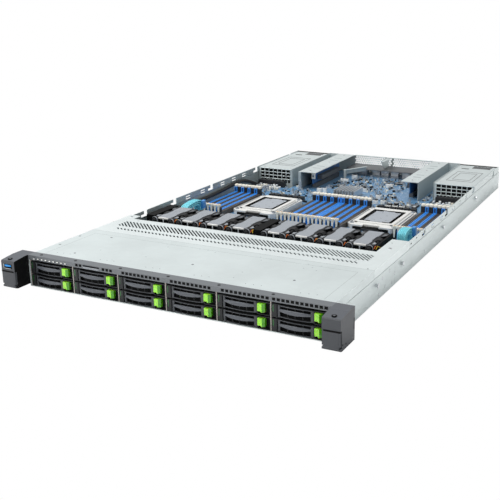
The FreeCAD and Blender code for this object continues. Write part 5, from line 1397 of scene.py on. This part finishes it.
class SERVER_OT_stage(bpy.types.Operator):
    """Camera at the photograph's place, soft lamps, a pale floor and a white background"""
    bl_idname = "server.stage"
    bl_label = "Stage"

    # the camera's place in metres and its azimuth, elevation and roll in degrees
    camera_place = (0.550679, -0.785385, 0.373447)
    camera_turn = (27.019, 15.412, -0.623)
    lens = 59.014
    shift = -0.06
    # each lamp's name, place and target in metres, power in watts and width in metres
    lamps = (
        ("key", (-0.9, 0.1, 2.0), (0, 0.35, 0), 42.0, 1.5),
        ("fill", (1.9, -0.9, 1.0), (0, 0.3, 0), 2.5, 1.4),
        ("front", (-0.5, -2.0, 0.9), (0, 0, 0.02), 6.0, 0.8),
    )
    floor_half_width = 6.0
    floor_drop = -0.0004

    def execute(self, context):
        context.scene.view_settings.view_transform = "Standard"
        self.camera(context.scene)
        for lamp in self.lamps:
            self.lamp(*lamp)
        self.world(context.scene)
        self.floor()
        return {"FINISHED"}

    def camera(self, scene):
        azimuth, elevation, roll = (math.radians(angle) for angle in self.camera_turn)
        back = Vector((math.sin(azimuth) * math.cos(elevation), -math.cos(azimuth) * math.cos(elevation),
                       math.sin(elevation)))
        right = Vector((math.cos(azimuth), math.sin(azimuth), 0))
        up = back.cross(right)
        tilted_right = right * math.cos(roll) + up * math.sin(roll)
        tilted_up = up * math.cos(roll) - right * math.sin(roll)
        data = bpy.data.cameras.new("camera")
        data.sensor_width = 36.0
        data.lens = self.lens
        data.shift_x = self.shift
        data.shift_y = self.shift
        data.clip_start = 0.01
        data.clip_end = 50
        camera = new_object("camera", data)
        turn = Matrix((tilted_right, tilted_up, back)).transposed().to_4x4()
        camera.matrix_world = Matrix.Translation(self.camera_place) @ turn
        scene.camera = camera

    def lamp(self, name, place, target, power, width):
        data = bpy.data.lights.new(name, "AREA")
        data.energy = power
        data.size = width
        lamp = new_object(name, data)
        lamp.location = place
        lamp.rotation_mode = "QUATERNION"
        lamp.rotation_quaternion = (Vector(target) - Vector(place)).to_track_quat("-Z", "Y")

    def world(self, scene):
        """White where the camera or clear plastic sees it, and half as strong as light on the object."""
        scene.world = bpy.data.worlds.new("studio")
        scene.world.use_nodes = True
        tree = scene.world.node_tree
        tree.nodes.clear()
        path = add(tree, "ShaderNodeLightPath")
        seen = add(tree, "ShaderNodeMath", {"operation": "MAXIMUM"},
                   {0: path.outputs["Is Camera Ray"], 1: path.outputs["Is Transmission Ray"]})
        strength = add(tree, "ShaderNodeMapRange", {"To Min": 0.5, "To Max": 1.0}, {"Value": seen.outputs[0]})
        light = add(tree, "ShaderNodeBackground", {"Color": (1, 1, 1, 1)}, {"Strength": strength.outputs[0]})
        add(tree, "ShaderNodeOutputWorld", links={"Surface": light.outputs[0]})

    def floor(self):
        """Matt white paper that the camera sees as plain white."""
        material, tree, shader = start_finish(
            "floor_paper", {"Base Color": colour("floor_white"), "Roughness": 0.9})[:3]
        path = add(tree, "ShaderNodeLightPath")
        glow = add(tree, "ShaderNodeEmission", {"Color": (1, 1, 1, 1), "Strength": 1.0})
        mix = add(tree, "ShaderNodeMixShader", links={
            0: path.outputs["Is Camera Ray"], 1: shader.outputs[0], 2: glow.outputs[0]})
        tree.links.new(mix.outputs[0], tree.nodes["Material Output"].inputs["Surface"])
        mesh = bmesh.new()
        corners = bmesh.ops.create_grid(mesh, x_segments=1, y_segments=1, size=self.floor_half_width)["verts"]
        bmesh.ops.translate(mesh, vec=(0, 0, self.floor_drop), verts=corners)
        data = bpy.data.meshes.new("floor")
        mesh.to_mesh(data)
        mesh.free()
        data.materials.append(material)
        new_object("floor", data)


OPERATORS = [
    SERVER_OT_stage,
    SERVER_OT_cables,
    SERVER_OT_sheet_metal,
    SERVER_OT_front_plastics,
    SERVER_OT_board_plastics,
    SERVER_OT_tray_levers,
    SERVER_OT_front_strip,
    SERVER_OT_ear_details,
    SERVER_OT_cover_details,
    SERVER_OT_wall_details,
    SERVER_OT_fan_tops,
    SERVER_OT_memory_latches,
    SERVER_OT_socket_details,
    SERVER_OT_small_parts,
    SERVER_OT_rear_details,
    SERVER_OT_supply_details,
]


class SERVER_PT_looks(bpy.types.Panel):
    """The operators in order"""
    bl_idname = "SERVER_PT_looks"
    bl_label = "Rack server"
    bl_space_type = "VIEW_3D"
    bl_region_type = "UI"
    bl_category = "Server"

    def draw(self, context):
        for operator in OPERATORS:
            self.layout.operator(operator.bl_idname)


CLASSES = [ServerColours, ServerSizes, *OPERATORS, SERVER_PT_looks]


def register():
    for item in CLASSES:
        bpy.utils.register_class(item)
    bpy.types.Scene.server_colours = PointerProperty(type=ServerColours)
    bpy.types.Scene.server_sizes = PointerProperty(type=ServerSizes)


def unregister():
    del bpy.types.Scene.server_sizes
    del bpy.types.Scene.server_colours
    for item in reversed(CLASSES):
        bpy.utils.unregister_class(item)


def main():
    register()
    make_finishes()
    for operator in OPERATORS:
        group, name = operator.bl_idname.split(".")
        getattr(getattr(bpy.ops, group), name)()


if __name__ == "__main__":
    main()
